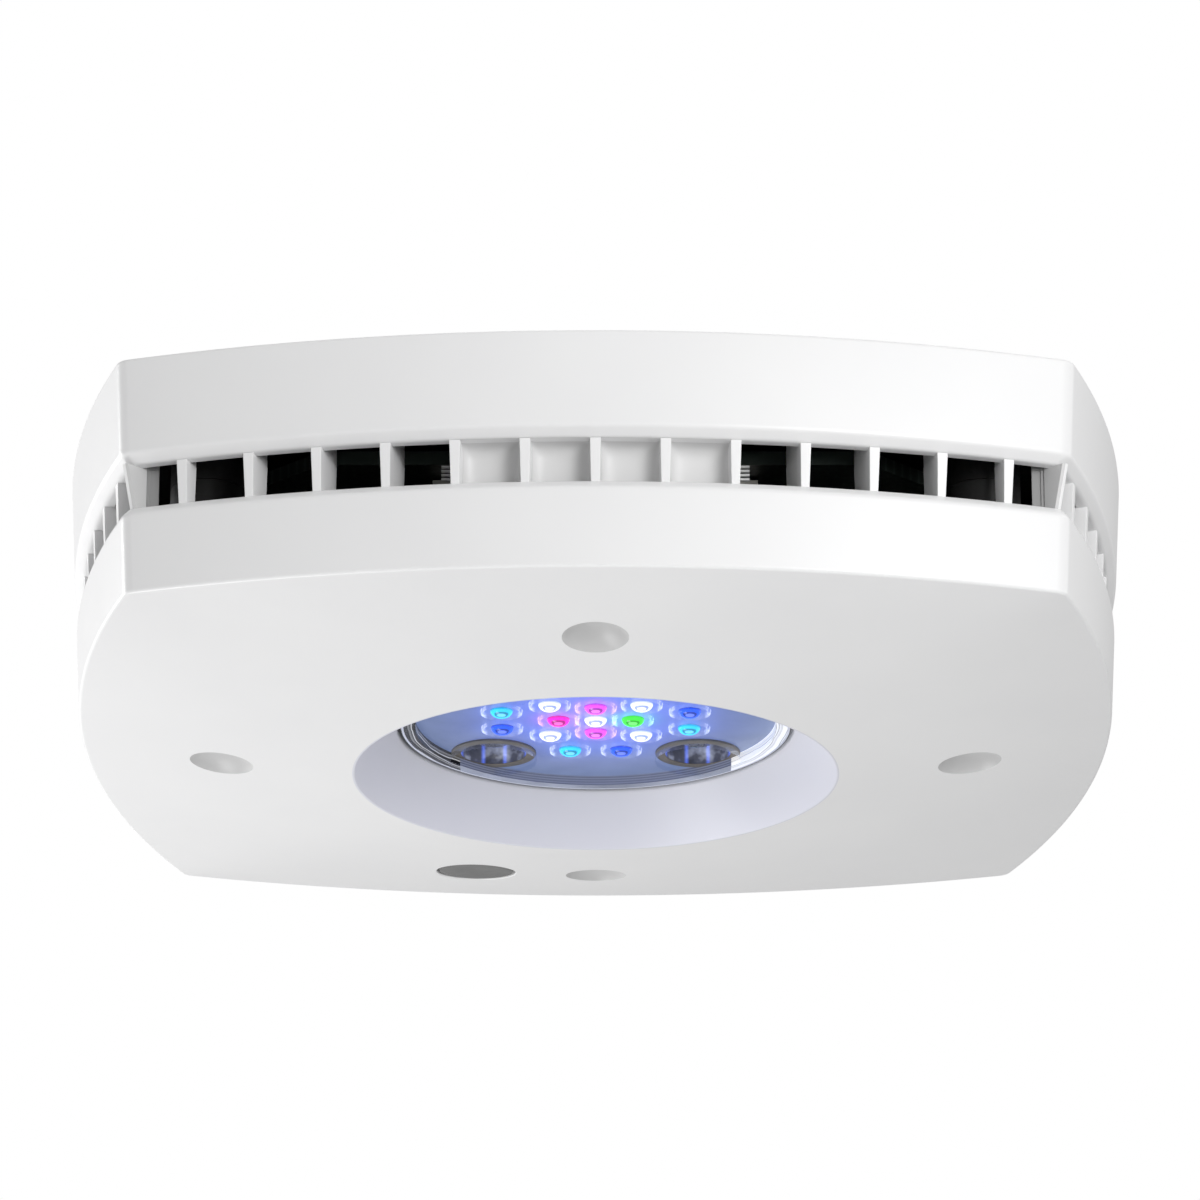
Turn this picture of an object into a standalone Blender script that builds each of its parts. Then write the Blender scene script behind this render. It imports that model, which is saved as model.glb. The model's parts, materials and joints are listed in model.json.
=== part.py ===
"""LED aquarium light: a square, fan-cooled light head, 124 x 124 x 31.5 mm.

Units are metres. +Z is up, +Y is the back. The origin is on the vertical centre line, level
with the rim of the light well in the underside, which is the lowest edge of the light.
Two screwed shells hold a stack: lens, LED board, thermal pad, heat sink and fan, with a
driver board around the fan. The fan draws air in through the top and blows it out of the
vents in the four sides.
"""
import math

import bmesh
import bpy
from mathutils import Matrix, Vector

MM = 0.001
GAP = 0.3 * MM

# Housing outline: four arcs bowed out from a square, drawn in towards the bottom
HALF_WIDTH = 62.0 * MM
SIDE_BOW = 8.9 * MM
CORNER_RADIUS = 1.5 * MM
HEIGHT = 31.5 * MM
WALL_TOP = 30.9 * MM
WALL_BOTTOM = 4.04 * MM
DRAFT = 1.53 * MM
WALL = 2.2 * MM
ARC_STEPS = 10

CORNER = HALF_WIDTH - SIDE_BOW
SIDE_RADIUS = (CORNER ** 2 + SIDE_BOW ** 2) / (2 * SIDE_BOW)

# Light well and domed underside
WELL_MOUTH_R = 28.42 * MM
WELL_THROAT_R = 23.45 * MM
WELL_DEPTH = 5.84 * MM
FLOOR = 2.0 * MM
LAND_Z = 7.6 * MM

# Vent band between the shells
VENT_LOW = 13.11 * MM
VENT_HIGH = 20.17 * MM
VENT_CHAMFER = 1.05 * MM
SILL_Z = VENT_LOW + VENT_CHAMFER
HEADER_Z = VENT_HIGH - VENT_CHAMFER
FLANGE = 1.6 * MM
INNER_HALF = 52.0 * MM
RIB_BACK_LOW = 51.4 * MM
RIB_BACK_HIGH = 49.9 * MM
RAIL = 2.6 * MM
RIB_PITCH = math.radians(2.727)
RIB_COUNT = 6
RIB_HALF = 0.5 * MM
BLIND_RIBS = 2
BLIND_WALL = 1.2 * MM
CORNER_RIB_DEPTH = 4.5 * MM
LIP_R = 28.0 * MM
LIP_BACK_R = 31.5 * MM

ROOF = 1.6 * MM
ROOF_UNDER_Z = HEIGHT - ROOF

# Dimples and button in the underside
DIMPLE_POSITION = 44.1 * MM
DIMPLE_R = 3.75 * MM
DIMPLE_DEPTH = 1.3 * MM
BUTTON_X = -14.9 * MM
BUTTON_Y = 43.0 * MM
BUTTON_R = 4.6 * MM
BUTTON_TRAVEL = 0.8 * MM

# Stack on the centre line, from the lens up to the roof
LENS_FRONT_Z = 5.9 * MM
LENS_BACK_Z = 11.0 * MM
BOARD_Z = LENS_BACK_Z + GAP
BOARD_THICK = 1.2 * MM
PAD_Z = BOARD_Z + BOARD_THICK + GAP
PAD_THICK = 0.3 * MM
SINK_Z = PAD_Z + PAD_THICK + GAP
SINK_BASE = 2.2 * MM
SINK_TOP = 19.0 * MM
SINK_HALF = 35.0 * MM
FAN_Z = 19.4 * MM
FAN_HEIGHT = 10.0 * MM
FAN_HALF = 25.0 * MM
FAN_TOP = FAN_Z + FAN_HEIGHT
DRIVER_Z = 19.9 * MM
DRIVER_THICK = 1.6 * MM
DRIVER_TOP = DRIVER_Z + DRIVER_THICK

# Fasteners
LENS_SCREW_XY = 12.25 * MM
LENS_WELL_R = 3.6 * MM
COLLAR_IN_R = 3.9 * MM
COLLAR_OUT_R = 5.1 * MM
COLLAR_TOP = 8.0 * MM
CASE_SCREW_XY = 43.5 * MM
CASE_POST_R = 4.2 * MM
FAN_SCREW_XY = 20.0 * MM
INSERT_X = 10.0 * MM
INSERT_Y = 46.0 * MM

# LED cluster: inner ring, four whites, outer ring of pairs beside the axes
LED_INNER_R = 4.4 * MM
LED_WHITE_XY = 5.4 * MM
LED_OUTER_R = 11.5 * MM
LED_OUTER_ANGLE = math.radians(15.4)

JACK_Z = 25.6 * MM
SWITCH_Z = 17.3 * MM
HEADER_X = 16.6 * MM
ROUND_STEPS = 48
SMALL_STEPS = 12

COLOURS = {
    "white_plastic": ((0.86, 0.86, 0.87), 0.28, 0.0),
    "grey_rubber": ((0.22, 0.22, 0.23), 0.6, 0.0),
    "clear_lens": ((0.75, 0.8, 0.86), 0.05, 0.0),
    "grey_collar": ((0.2, 0.18, 0.17), 0.4, 0.3),
    "black_rubber": ((0.02, 0.02, 0.02), 0.7, 0.0),
    "board_black": ((0.02, 0.025, 0.025), 0.5, 0.0),
    "board_white": ((0.55, 0.57, 0.62), 0.4, 0.0),
    "led_white": ((1.0, 1.0, 0.95), 0.3, 0.0),
    "led_cyan": ((0.0, 0.75, 1.0), 0.3, 0.0),
    "led_blue": ((0.02, 0.12, 1.0), 0.3, 0.0),
    "led_red": ((1.0, 0.02, 0.25), 0.3, 0.0),
    "led_green": ((0.05, 1.0, 0.05), 0.3, 0.0),
    "led_violet": ((0.8, 0.1, 1.0), 0.3, 0.0),
    "pad_grey": ((0.4, 0.42, 0.45), 0.8, 0.0),
    "black_aluminium": ((0.03, 0.03, 0.035), 0.45, 0.9),
    "black_plastic": ((0.02, 0.02, 0.02), 0.45, 0.0),
    "steel": ((0.6, 0.6, 0.62), 0.3, 1.0),
    "brass": ((0.75, 0.55, 0.25), 0.3, 1.0),
    "copper": ((0.7, 0.3, 0.15), 0.35, 1.0),
    "connector_white": ((0.8, 0.79, 0.75), 0.5, 0.0),
}


def clear_scene():
    for obj in list(bpy.data.objects):
        bpy.data.objects.remove(obj, do_unlink=True)


def make_material(name):
    """Principled material for one finish, made once."""
    if name in bpy.data.materials:
        return bpy.data.materials[name]
    colour, roughness, metallic = COLOURS[name]
    finish = bpy.data.materials.new(name)
    finish.use_nodes = True
    shader = finish.node_tree.nodes["Principled BSDF"]
    shader.inputs["Base Color"].default_value = (*colour, 1.0)
    shader.inputs["Roughness"].default_value = roughness
    shader.inputs["Metallic"].default_value = metallic
    if name == "clear_lens":
        shader.inputs["Transmission Weight"].default_value = 0.9
    return finish


def mesh_object(name, bm):
    """Object from a bmesh, with its faces turned outwards."""
    bmesh.ops.recalc_face_normals(bm, faces=bm.faces[:])
    mesh = bpy.data.meshes.new(name)
    bm.to_mesh(mesh)
    bm.free()
    obj = bpy.data.objects.new(name, mesh)
    bpy.context.scene.collection.objects.link(obj)
    return obj


def sub_part(name, bm, finish, parent=None, smooth=True):
    """A finished sub-part; its mesh is given relative to its parent's origin."""
    obj = mesh_object(name, bm)
    obj.data.materials.append(make_material(finish))
    if smooth:
        obj.data.shade_smooth()
        obj.data.set_sharp_from_angle(angle=math.radians(35))
    obj.parent = parent
    return obj


def shape_with(obj, operation, name, bm):
    """Add to or cut from a sub-part with a hidden tool shape."""
    tool = mesh_object(name, bm)
    tool.hide_render = True
    tool.display_type = "WIRE"
    tool.parent = obj.parent
    modifier = obj.modifiers.new(name, "BOOLEAN")
    modifier.operation = operation
    modifier.object = tool


# Solid builders

def loft(bm, loops, closed=False):
    """Skin loops of equal length into a solid; a closed loft is a ring, an open one is capped."""
    rows = [[bm.verts.new(point) for point in loop] for loop in loops]
    count = len(rows[0])
    pairs = list(zip(rows, rows[1:]))
    if closed:
        pairs.append((rows[-1], rows[0]))
    for low, high in pairs:
        for i in range(count):
            j = (i + 1) % count
            bm.faces.new((low[i], low[j], high[j], high[i]))
    if not closed:
        bm.faces.new(rows[0])
        bm.faces.new(rows[-1])
    return bm


def circle(radius, z, steps=ROUND_STEPS, centre=(0.0, 0.0), turn=0.0):
    points = []
    for i in range(steps):
        angle = turn + 2 * math.pi * i / steps
        points.append((centre[0] + radius * math.cos(angle), centre[1] + radius * math.sin(angle), z))
    return points


def turned(bm, profile, steps=ROUND_STEPS, centre=(0.0, 0.0), closed=False, turn=0.0):
    """Solid of revolution about a vertical axis from (radius, z) pairs."""
    loops = [circle(radius, z, steps, centre, turn) for radius, z in profile]
    return loft(bm, loops, closed)


def rod(bm, radius, z_low, z_high, centre=(0.0, 0.0), steps=SMALL_STEPS):
    return turned(bm, [(radius, z_low), (radius, z_high)], steps, centre)


def tube(bm, r_in, r_out, z_low, z_high, centre=(0.0, 0.0), steps=ROUND_STEPS):
    profile = [(r_out, z_low), (r_out, z_high), (r_in, z_high), (r_in, z_low)]
    return turned(bm, profile, steps, centre, closed=True)


def prism(bm, outline_2d, z_low, z_high):
    """Upright prism over a plan outline."""
    loops = [[(x, y, z) for x, y in outline_2d] for z in (z_low, z_high)]
    return loft(bm, loops)


def block(bm, low, high):
    plan = [(low[0], low[1]), (high[0], low[1]), (high[0], high[1]), (low[0], high[1])]
    return prism(bm, plan, low[2], high[2])


def four_places(reach):
    """Centres of four like pieces at the corners of a square, front pair first."""
    return [(sx * reach, sy * reach) for sy in (-1, 1) for sx in (-1, 1)]


def rotate_quarter(bm, quarter):
    """Turn everything in a bmesh about the centre line by quarter turns."""
    turn = Matrix.Rotation(quarter * math.pi / 2, 4, "Z")
    bmesh.ops.transform(bm, matrix=turn, verts=bm.verts[:])


def four_sides(make_side):
    """Collect one side's shapes, repeated on all four sides."""
    whole = bmesh.new()
    for quarter in range(4):
        side = bmesh.new()
        make_side(side)
        rotate_quarter(side, quarter)
        piece = bpy.data.meshes.new("side")
        side.to_mesh(piece)
        side.free()
        whole.from_mesh(piece)
        bpy.data.meshes.remove(piece)
    return whole


# Housing outline

def draft_scale(z):
    return 1.0 - DRAFT * (WALL_TOP - z) / (WALL_TOP - WALL_BOTTOM) / HALF_WIDTH


def side_arc(z, inset):
    """Arc centre offset and radius of a side at one height."""
    scale = draft_scale(z)
    return (HALF_WIDTH - SIDE_RADIUS) * scale, SIDE_RADIUS * scale - inset


def outline(z, inset=0.0):
    """Plan outline of the housing at one height, as a loop of points."""
    offset, radius = side_arc(z, inset)
    fillet = max(CORNER_RADIUS - inset, 0.3 * MM)
    reach = radius - fillet
    diagonal = (offset + math.sqrt(2 * reach ** 2 - offset ** 2)) / 2
    edge = math.atan2(diagonal, diagonal - offset)
    side = []
    for i in range(ARC_STEPS + 1):
        angle = -edge + 2 * edge * i / ARC_STEPS
        side.append(Vector((offset + radius * math.cos(angle), radius * math.sin(angle), z)))
    corner = diagonal + fillet / math.sqrt(2)
    side.append(Vector((corner, corner, z)))
    points = []
    for quarter in range(4):
        turn = Matrix.Rotation(quarter * math.pi / 2, 3, "Z")
        points.extend(turn @ point for point in side)
    return points


def around(radius, z):
    """Circle sampled at the same directions as the housing outline."""
    return [Vector((p.x, p.y, 0.0)).normalized() * radius + Vector((0, 0, z)) for p in outline(WALL_BOTTOM)]


def dome_rise(share):
    """Height of the underside, from 0 at the well's mouth to the wall's foot at share 1."""
    mid_side = HALF_WIDTH - DRAFT
    mouth = WELL_MOUTH_R / mid_side
    reach = mouth + (1 - mouth) * share
    return WALL_BOTTOM * (reach ** 2 - mouth ** 2) / (1 - mouth ** 2)


def dome_loop(share, lift=0.0, inner_radius=WELL_MOUTH_R, inset=0.0):
    """Loop on the domed underside; share runs from 0 at the well to 1 at the wall."""
    loop = []
    for edge, wall in zip(outline(WALL_BOTTOM), outline(WALL_BOTTOM, inset)):
        direction = Vector((edge.x, edge.y, 0.0))
        full = direction.length
        limit = Vector((wall.x, wall.y, 0.0)).length
        radius = inner_radius + (limit - inner_radius) * share
        z = dome_rise((radius - WELL_MOUTH_R) / (full - WELL_MOUTH_R)) + lift
        loop.append(direction.normalized() * radius + Vector((0, 0, z)))
    return loop


def dome_height(x, y):
    """Height of the underside at a point near the middle of a side."""
    return dome_rise((math.hypot(x, y) - WELL_MOUTH_R) / (HALF_WIDTH - DRAFT - WELL_MOUTH_R))


def vent_inner_loop(z):
    """Inner edge of the vent band: straight along each side, cut back at the corners."""
    loop = []
    for point in outline(z, RAIL):
        span = max(abs(point.x), abs(point.y))
        shrink = min(1.0, INNER_HALF / span)
        loop.append(Vector((point.x * shrink, point.y * shrink, z)))
    return loop


# Lower shell

def vent_rib(bm, index):
    """One upright rib, square to the side's arc, from the vent face back to the inner line."""
    middle = (SILL_Z + HEADER_Z) / 2
    offset, radius = side_arc(middle, VENT_CHAMFER)
    angle = index * RIB_PITCH
    along = Vector((math.cos(angle), math.sin(angle), 0.0))
    across = Vector((-math.sin(angle), math.cos(angle), 0.0))
    loops = []
    for z, inner in ((SILL_Z - RIB_HALF, RIB_BACK_LOW), (HEADER_Z - GAP, RIB_BACK_HIGH)):
        start = Vector((offset, 0.0, z))
        front = start + along * radius
        back = start + along * ((inner - offset) / math.cos(angle))
        side = across * RIB_HALF
        loops.append([front - side, front + side, back + side, back - side])
    loft(bm, loops)


def side_ribs(bm):
    for index in range(-RIB_COUNT, RIB_COUNT + 1):
        vent_rib(bm, index)


def blind_wall(bm):
    """Wall that closes the four middle vents, which line up with the dimple below."""
    half_length = (SIDE_RADIUS * math.sin(BLIND_RIBS * RIB_PITCH)) + RIB_HALF / 2
    low = (INNER_HALF + RIB_HALF / 2, -half_length, SILL_Z - RIB_HALF / 2)
    high = (INNER_HALF + RIB_HALF / 2 + BLIND_WALL, half_length, HEADER_Z - GAP - RIB_HALF / 4)
    block(bm, low, high)


def corner_rib(bm):
    """Rib on the diagonal, from the vent face back into the corner."""
    tip = outline((SILL_Z + HEADER_Z) / 2, VENT_CHAMFER)[ARC_STEPS + 1].x
    back = tip - CORNER_RIB_DEPTH / math.sqrt(2)
    half = RIB_HALF / math.sqrt(2)
    plan = [(tip + half, tip - half), (tip - half, tip + half)]
    plan += [(back - half, back + half), (back + half, back - half)]
    prism(bm, plan, SILL_Z - RIB_HALF, HEADER_Z - GAP)


def corner_bosses(z_low, z_high, radius):
    bm = bmesh.new()
    for place in four_places(CASE_SCREW_XY):
        rod(bm, radius, z_low, z_high, place, 10)
    return bm


def dimple_pads(bm):
    rod(bm, DIMPLE_R + WALL, 2.4 * MM, 4.8 * MM, (DIMPLE_POSITION, 0.0))


def dimple_ball(bm):
    ball_r = (DIMPLE_R ** 2 + DIMPLE_DEPTH ** 2) / (2 * DIMPLE_DEPTH)
    z = dome_height(DIMPLE_POSITION, 0.0) + DIMPLE_DEPTH - ball_r
    place = Matrix.Translation((DIMPLE_POSITION, 0.0, z))
    bmesh.ops.create_uvsphere(bm, u_segments=16, v_segments=14, radius=ball_r, matrix=place)


def make_bottom_cover():
    shell = bmesh.new()
    dome_shares = (1.0, 0.66, 0.33, 0.0)
    loops = [vent_inner_loop(SILL_Z), outline(SILL_Z, VENT_CHAMFER), outline(VENT_LOW)]
    loops += [dome_loop(share) for share in dome_shares]
    loops += [around(WELL_THROAT_R, WELL_DEPTH), around(WELL_THROAT_R, LAND_Z), around(LIP_R, LAND_Z)]
    loops.append(dome_loop(0.0, FLOOR, LIP_BACK_R, WALL))
    loops += [dome_loop(share, FLOOR, LIP_BACK_R, WALL) for share in (0.5, 1.0)]
    loops += [outline(SILL_Z - FLANGE, WALL), vent_inner_loop(SILL_Z - FLANGE)]
    loft(shell, loops, closed=True)
    cover = sub_part("bottom_cover", shell, "white_plastic")
    sleeve = rod(bmesh.new(), BUTTON_R + GAP + 1.4 * MM, 2.7 * MM, 7.0 * MM, (BUTTON_X, BUTTON_Y), 20)
    shape_with(cover, "UNION", "tool_vent_ribs", four_sides(side_ribs))
    shape_with(cover, "UNION", "tool_blind_walls", four_sides(blind_wall))
    shape_with(cover, "UNION", "tool_corner_ribs", four_sides(corner_rib))
    shape_with(cover, "UNION", "tool_dimple_pads", four_sides(dimple_pads))
    posts = corner_bosses(WALL_BOTTOM, HEADER_Z - GAP, CASE_POST_R)
    shape_with(cover, "UNION", "tool_case_posts", posts)
    shape_with(cover, "UNION", "tool_button_sleeve", sleeve)
    shape_with(cover, "DIFFERENCE", "tool_dimples", four_sides(dimple_ball))
    pilots = corner_bosses(8.0 * MM, HEADER_Z, 1.55 * MM)
    shape_with(cover, "DIFFERENCE", "tool_pilot_holes", pilots)
    hole = rod(bmesh.new(), BUTTON_R + GAP, -MM, 8.0 * MM, (BUTTON_X, BUTTON_Y), 24)
    shape_with(cover, "DIFFERENCE", "tool_button_hole", hole)
    return cover


# Upper shell

def grille_slots():
    """Four rings of arc slots over the fan, with six spokes left between them."""
    bm = bmesh.new()
    slot, pitch, first = 2.2 * MM, 4.0 * MM, 6.6 * MM
    spoke_half = 1.1 * MM
    steps = 3
    for ring in range(4):
        r_in = first + ring * pitch
        r_out = r_in + slot
        for sector in range(6):
            start = sector * math.pi / 3 + spoke_half / r_in
            end = (sector + 1) * math.pi / 3 - spoke_half / r_in
            inner, outer = [], []
            for i in range(steps + 1):
                angle = start + (end - start) * i / steps
                inner.append((r_in * math.cos(angle), r_in * math.sin(angle)))
                outer.append((r_out * math.cos(angle), r_out * math.sin(angle)))
            prism(bm, inner + outer[::-1], ROOF_UNDER_Z - MM, HEIGHT + MM)
    return bm


def make_top_cover():
    shell = bmesh.new()
    flat = 0.86
    crown = [Vector((p.x * flat, p.y * flat, HEIGHT)) for p in outline(WALL_TOP)]
    rim = [Vector((p.x, p.y, WALL_TOP + 0.3 * MM)) for p in outline(WALL_TOP, 0.5 * MM)]
    outer = [outline(HEADER_Z, VENT_CHAMFER), outline(VENT_HIGH)]
    outer += [outline(WALL_TOP), rim, crown]
    roof = [Vector((p.x, p.y, ROOF_UNDER_Z)) for p in outline(ROOF_UNDER_Z, WALL)]
    inner = [roof, outline(HEADER_Z, WALL)]
    loft_cap(shell, outer, inner)
    cover = sub_part("top_cover", shell, "white_plastic")
    bosses = corner_bosses(HEADER_Z, ROOF_UNDER_Z + ROOF / 2, CASE_POST_R)
    shape_with(cover, "UNION", "tool_top_bosses", bosses)
    shape_with(cover, "UNION", "tool_insert_bosses", insert_rods(5.6 * MM, 23.0 * MM, 30.6 * MM))
    shape_with(cover, "DIFFERENCE", "tool_insert_bores", insert_rods(3.8 * MM, 24.0 * MM, 33.0 * MM))
    clearance = corner_bosses(HEADER_Z - MM, HEIGHT + MM, 1.6 * MM)
    shape_with(cover, "DIFFERENCE", "tool_screw_bores", clearance)
    heads = corner_bosses(28.3 * MM, HEIGHT + MM, 3.0 * MM)
    shape_with(cover, "DIFFERENCE", "tool_head_bores", heads)
    shape_with(cover, "DIFFERENCE", "tool_grille", grille_slots())
    shape_with(cover, "DIFFERENCE", "tool_jack_hole", jack_barrel(4.5 * MM, 55.0 * MM, 64.0 * MM))
    return cover


def loft_cap(bm, outer, inner):
    """Closed cap-shaped shell: outer skin up to its crown, inner skin down from the roof."""
    loops = outer + inner
    rows = [[bm.verts.new(point) for point in loop] for loop in loops]
    count = len(rows[0])
    crown = len(outer) - 1
    for k, low in enumerate(rows):
        if k == crown:
            continue
        high = rows[(k + 1) % len(rows)]
        for i in range(count):
            j = (i + 1) % count
            bm.faces.new((low[i], low[j], high[j], high[i]))
    bm.faces.new(rows[crown])
    bm.faces.new(rows[crown + 1])


def insert_rods(radius, z_low, z_high):
    bm = bmesh.new()
    for x in (-INSERT_X, INSERT_X):
        rod(bm, radius, z_low, z_high, (x, INSERT_Y))
    return bm


def jack_barrel(radius, y_low, y_high, steps=20):
    """Rod along Y on the power inlet's axis."""
    bm = bmesh.new()
    rod(bm, radius, y_low, y_high, steps=steps)
    to_y = Matrix.Rotation(-math.pi / 2, 4, "X")
    bmesh.ops.transform(bm, matrix=to_y, verts=bm.verts[:])
    bmesh.ops.translate(bm, vec=(0, 0, JACK_Z), verts=bm.verts[:])
    return bm


# Lens, LEDs and heat sink

def led_places():
    """Finish and place of each LED: centre, inner ring, whites, then the outer pairs."""
    places = [("led_white", 0.0, 0.0)]
    inner = (("led_green", 0), ("led_violet", 90), ("led_red", 180), ("led_violet", 270))
    for finish, degrees in inner:
        angle = math.radians(degrees)
        places.append((finish, LED_INNER_R * math.cos(angle), LED_INNER_R * math.sin(angle)))
    for sx in (-1, 1):
        for sy in (-1, 1):
            places.append(("led_white", sx * LED_WHITE_XY, sy * LED_WHITE_XY))
    for quarter in range(4):
        for side in (-1, 1):
            angle = quarter * math.pi / 2 + side * LED_OUTER_ANGLE
            finish = "led_cyan" if side > 0 else "led_blue"
            places.append((finish, LED_OUTER_R * math.cos(angle), LED_OUTER_R * math.sin(angle)))
    return places


def make_lens_puck():
    bm = bmesh.new()
    profile = [(21.3 * MM, LENS_FRONT_Z), (23.1 * MM, LENS_FRONT_Z + 0.9 * MM), (23.1 * MM, 8.8 * MM)]
    profile += [(26.4 * MM, 8.8 * MM), (26.4 * MM, 10.2 * MM), (24.0 * MM, LENS_BACK_Z)]
    lens = sub_part("lens_puck", turned(bm, profile), "clear_lens")
    seats, wells, lips, pockets = bmesh.new(), bmesh.new(), bmesh.new(), bmesh.new()
    for place in four_places(LENS_SCREW_XY):
        rod(seats, COLLAR_OUT_R + GAP, LENS_FRONT_Z - MM, COLLAR_TOP + GAP, place, 16)
        rod(wells, LENS_WELL_R, LENS_FRONT_Z - MM, 10.0 * MM, place, 16)
        rod(lips, 1.6 * MM, 9.0 * MM, LENS_BACK_Z + MM, place, 8)
    for _, x, y in led_places():
        rod(pockets, 2.0 * MM, 9.5 * MM, LENS_BACK_Z + MM, (x, y), 8)
    shape_with(lens, "DIFFERENCE", "tool_collar_seats", seats)
    shape_with(lens, "DIFFERENCE", "tool_screw_wells", wells)
    shape_with(lens, "DIFFERENCE", "tool_screw_lips", lips)
    shape_with(lens, "DIFFERENCE", "tool_led_pockets", pockets)


def make_lens_fastenings():
    """Gasket, and in each screw well a collar and a pan-head screw down into the heat sink."""
    ring = tube(bmesh.new(), 23.9 * MM, 26.3 * MM, 7.9 * MM, 8.5 * MM, steps=32)
    sub_part("lens_gasket", ring, "black_rubber")
    for number, place in enumerate(four_places(LENS_SCREW_XY), 1):
        collar = tube(bmesh.new(), COLLAR_IN_R, COLLAR_OUT_R, LENS_FRONT_Z, COLLAR_TOP, place, 20)
        sub_part(f"screw_collar_{number}", collar, "grey_collar")
        profile = [(1.8 * MM, 8.3 * MM), (2.4 * MM, 8.7 * MM), (2.4 * MM, 9.7 * MM), (1.2 * MM, 9.7 * MM)]
        profile.append((1.2 * MM, SINK_Z + 1.4 * MM))
        sub_part(f"lens_screw_{number}", turned(bmesh.new(), profile, SMALL_STEPS, place), "steel")


def lens_screw_holes(z_low, z_high):
    bm = bmesh.new()
    for place in four_places(LENS_SCREW_XY):
        rod(bm, 1.5 * MM, z_low, z_high, place, 8)
    return bm


def make_led_board():
    bm = rod(bmesh.new(), 26.5 * MM, BOARD_Z, BOARD_Z + BOARD_THICK, steps=32)
    board = sub_part("led_board", bm, "board_white")
    shape_with(board, "DIFFERENCE", "tool_board_holes", lens_screw_holes(BOARD_Z - MM, PAD_Z + MM))
    sheet = rod(bmesh.new(), 26.0 * MM, PAD_Z, PAD_Z + PAD_THICK, steps=32)
    pad = sub_part("thermal_pad", sheet, "pad_grey")
    shape_with(pad, "DIFFERENCE", "tool_pad_holes", lens_screw_holes(PAD_Z - MM, SINK_Z + MM))


def make_leds():
    """Square package with a low dome that faces down."""
    for number, (finish, x, y) in enumerate(led_places()):
        half = 1.1 * MM
        top = LENS_BACK_Z
        corner_turn = math.pi / 4
        bm = bmesh.new()
        loops = [circle(half * 0.55, top - 1.1 * MM, 8, (x, y), corner_turn)]
        loops.append(circle(half * 0.95, top - 0.7 * MM, 8, (x, y), corner_turn))
        loops.append(circle(half, top - 0.4 * MM, 8, (x, y), corner_turn))
        loops.append(square_of_eight(half, top - 0.4 * MM, x, y))
        loops.append(square_of_eight(half, top, x, y))
        sub_part(f"led_{number:02d}", loft(bm, loops), finish)


def square_of_eight(half, z, x, y):
    """Square with its corners and side middles, in step with an eight-point circle."""
    signs = ((1, 1), (0, 1), (-1, 1), (-1, 0), (-1, -1), (0, -1), (1, -1), (1, 0))
    reach = half * 1.15
    return [(x + sx * reach, y + sy * reach, z) for sx, sy in signs]


def make_heat_sink():
    """Pin-fin heat sink: a comb along Y, cut across into pins."""
    fins, fin = 13, 1.6 * MM
    pitch = (2 * SINK_HALF - fin) / (fins - 1)
    base_top = SINK_Z + SINK_BASE
    comb = [(-SINK_HALF, SINK_Z), (SINK_HALF, SINK_Z)]
    for i in reversed(range(fins)):
        left = -SINK_HALF + i * pitch
        comb += [(left + fin, base_top), (left + fin, SINK_TOP), (left, SINK_TOP), (left, base_top)]
    comb = comb[:2] + comb[3:-1]
    bm = bmesh.new()
    loft(bm, [[(x, y, z) for x, z in comb] for y in (-SINK_HALF, SINK_HALF)])
    sink = sub_part("heat_sink", bm, "black_aluminium", smooth=False)
    cuts = bmesh.new()
    rows = 4
    for i in range(1, rows):
        y = -SINK_HALF + 2 * SINK_HALF * i / rows
        low = (-SINK_HALF - MM, y - 1.5 * MM, base_top + 0.2 * MM)
        block(cuts, low, (SINK_HALF + MM, y + 1.5 * MM, SINK_TOP + MM))
    shape_with(sink, "DIFFERENCE", "tool_cross_slots", cuts)
    shape_with(sink, "DIFFERENCE", "tool_sink_holes", lens_screw_holes(SINK_Z - MM, SINK_Z + 1.7 * MM))
    pilots = fan_screw_rods(1.5 * MM, SINK_Z + 0.6 * MM, SINK_TOP + MM)
    shape_with(sink, "DIFFERENCE", "tool_fan_pilots", pilots)


# Fan

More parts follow.
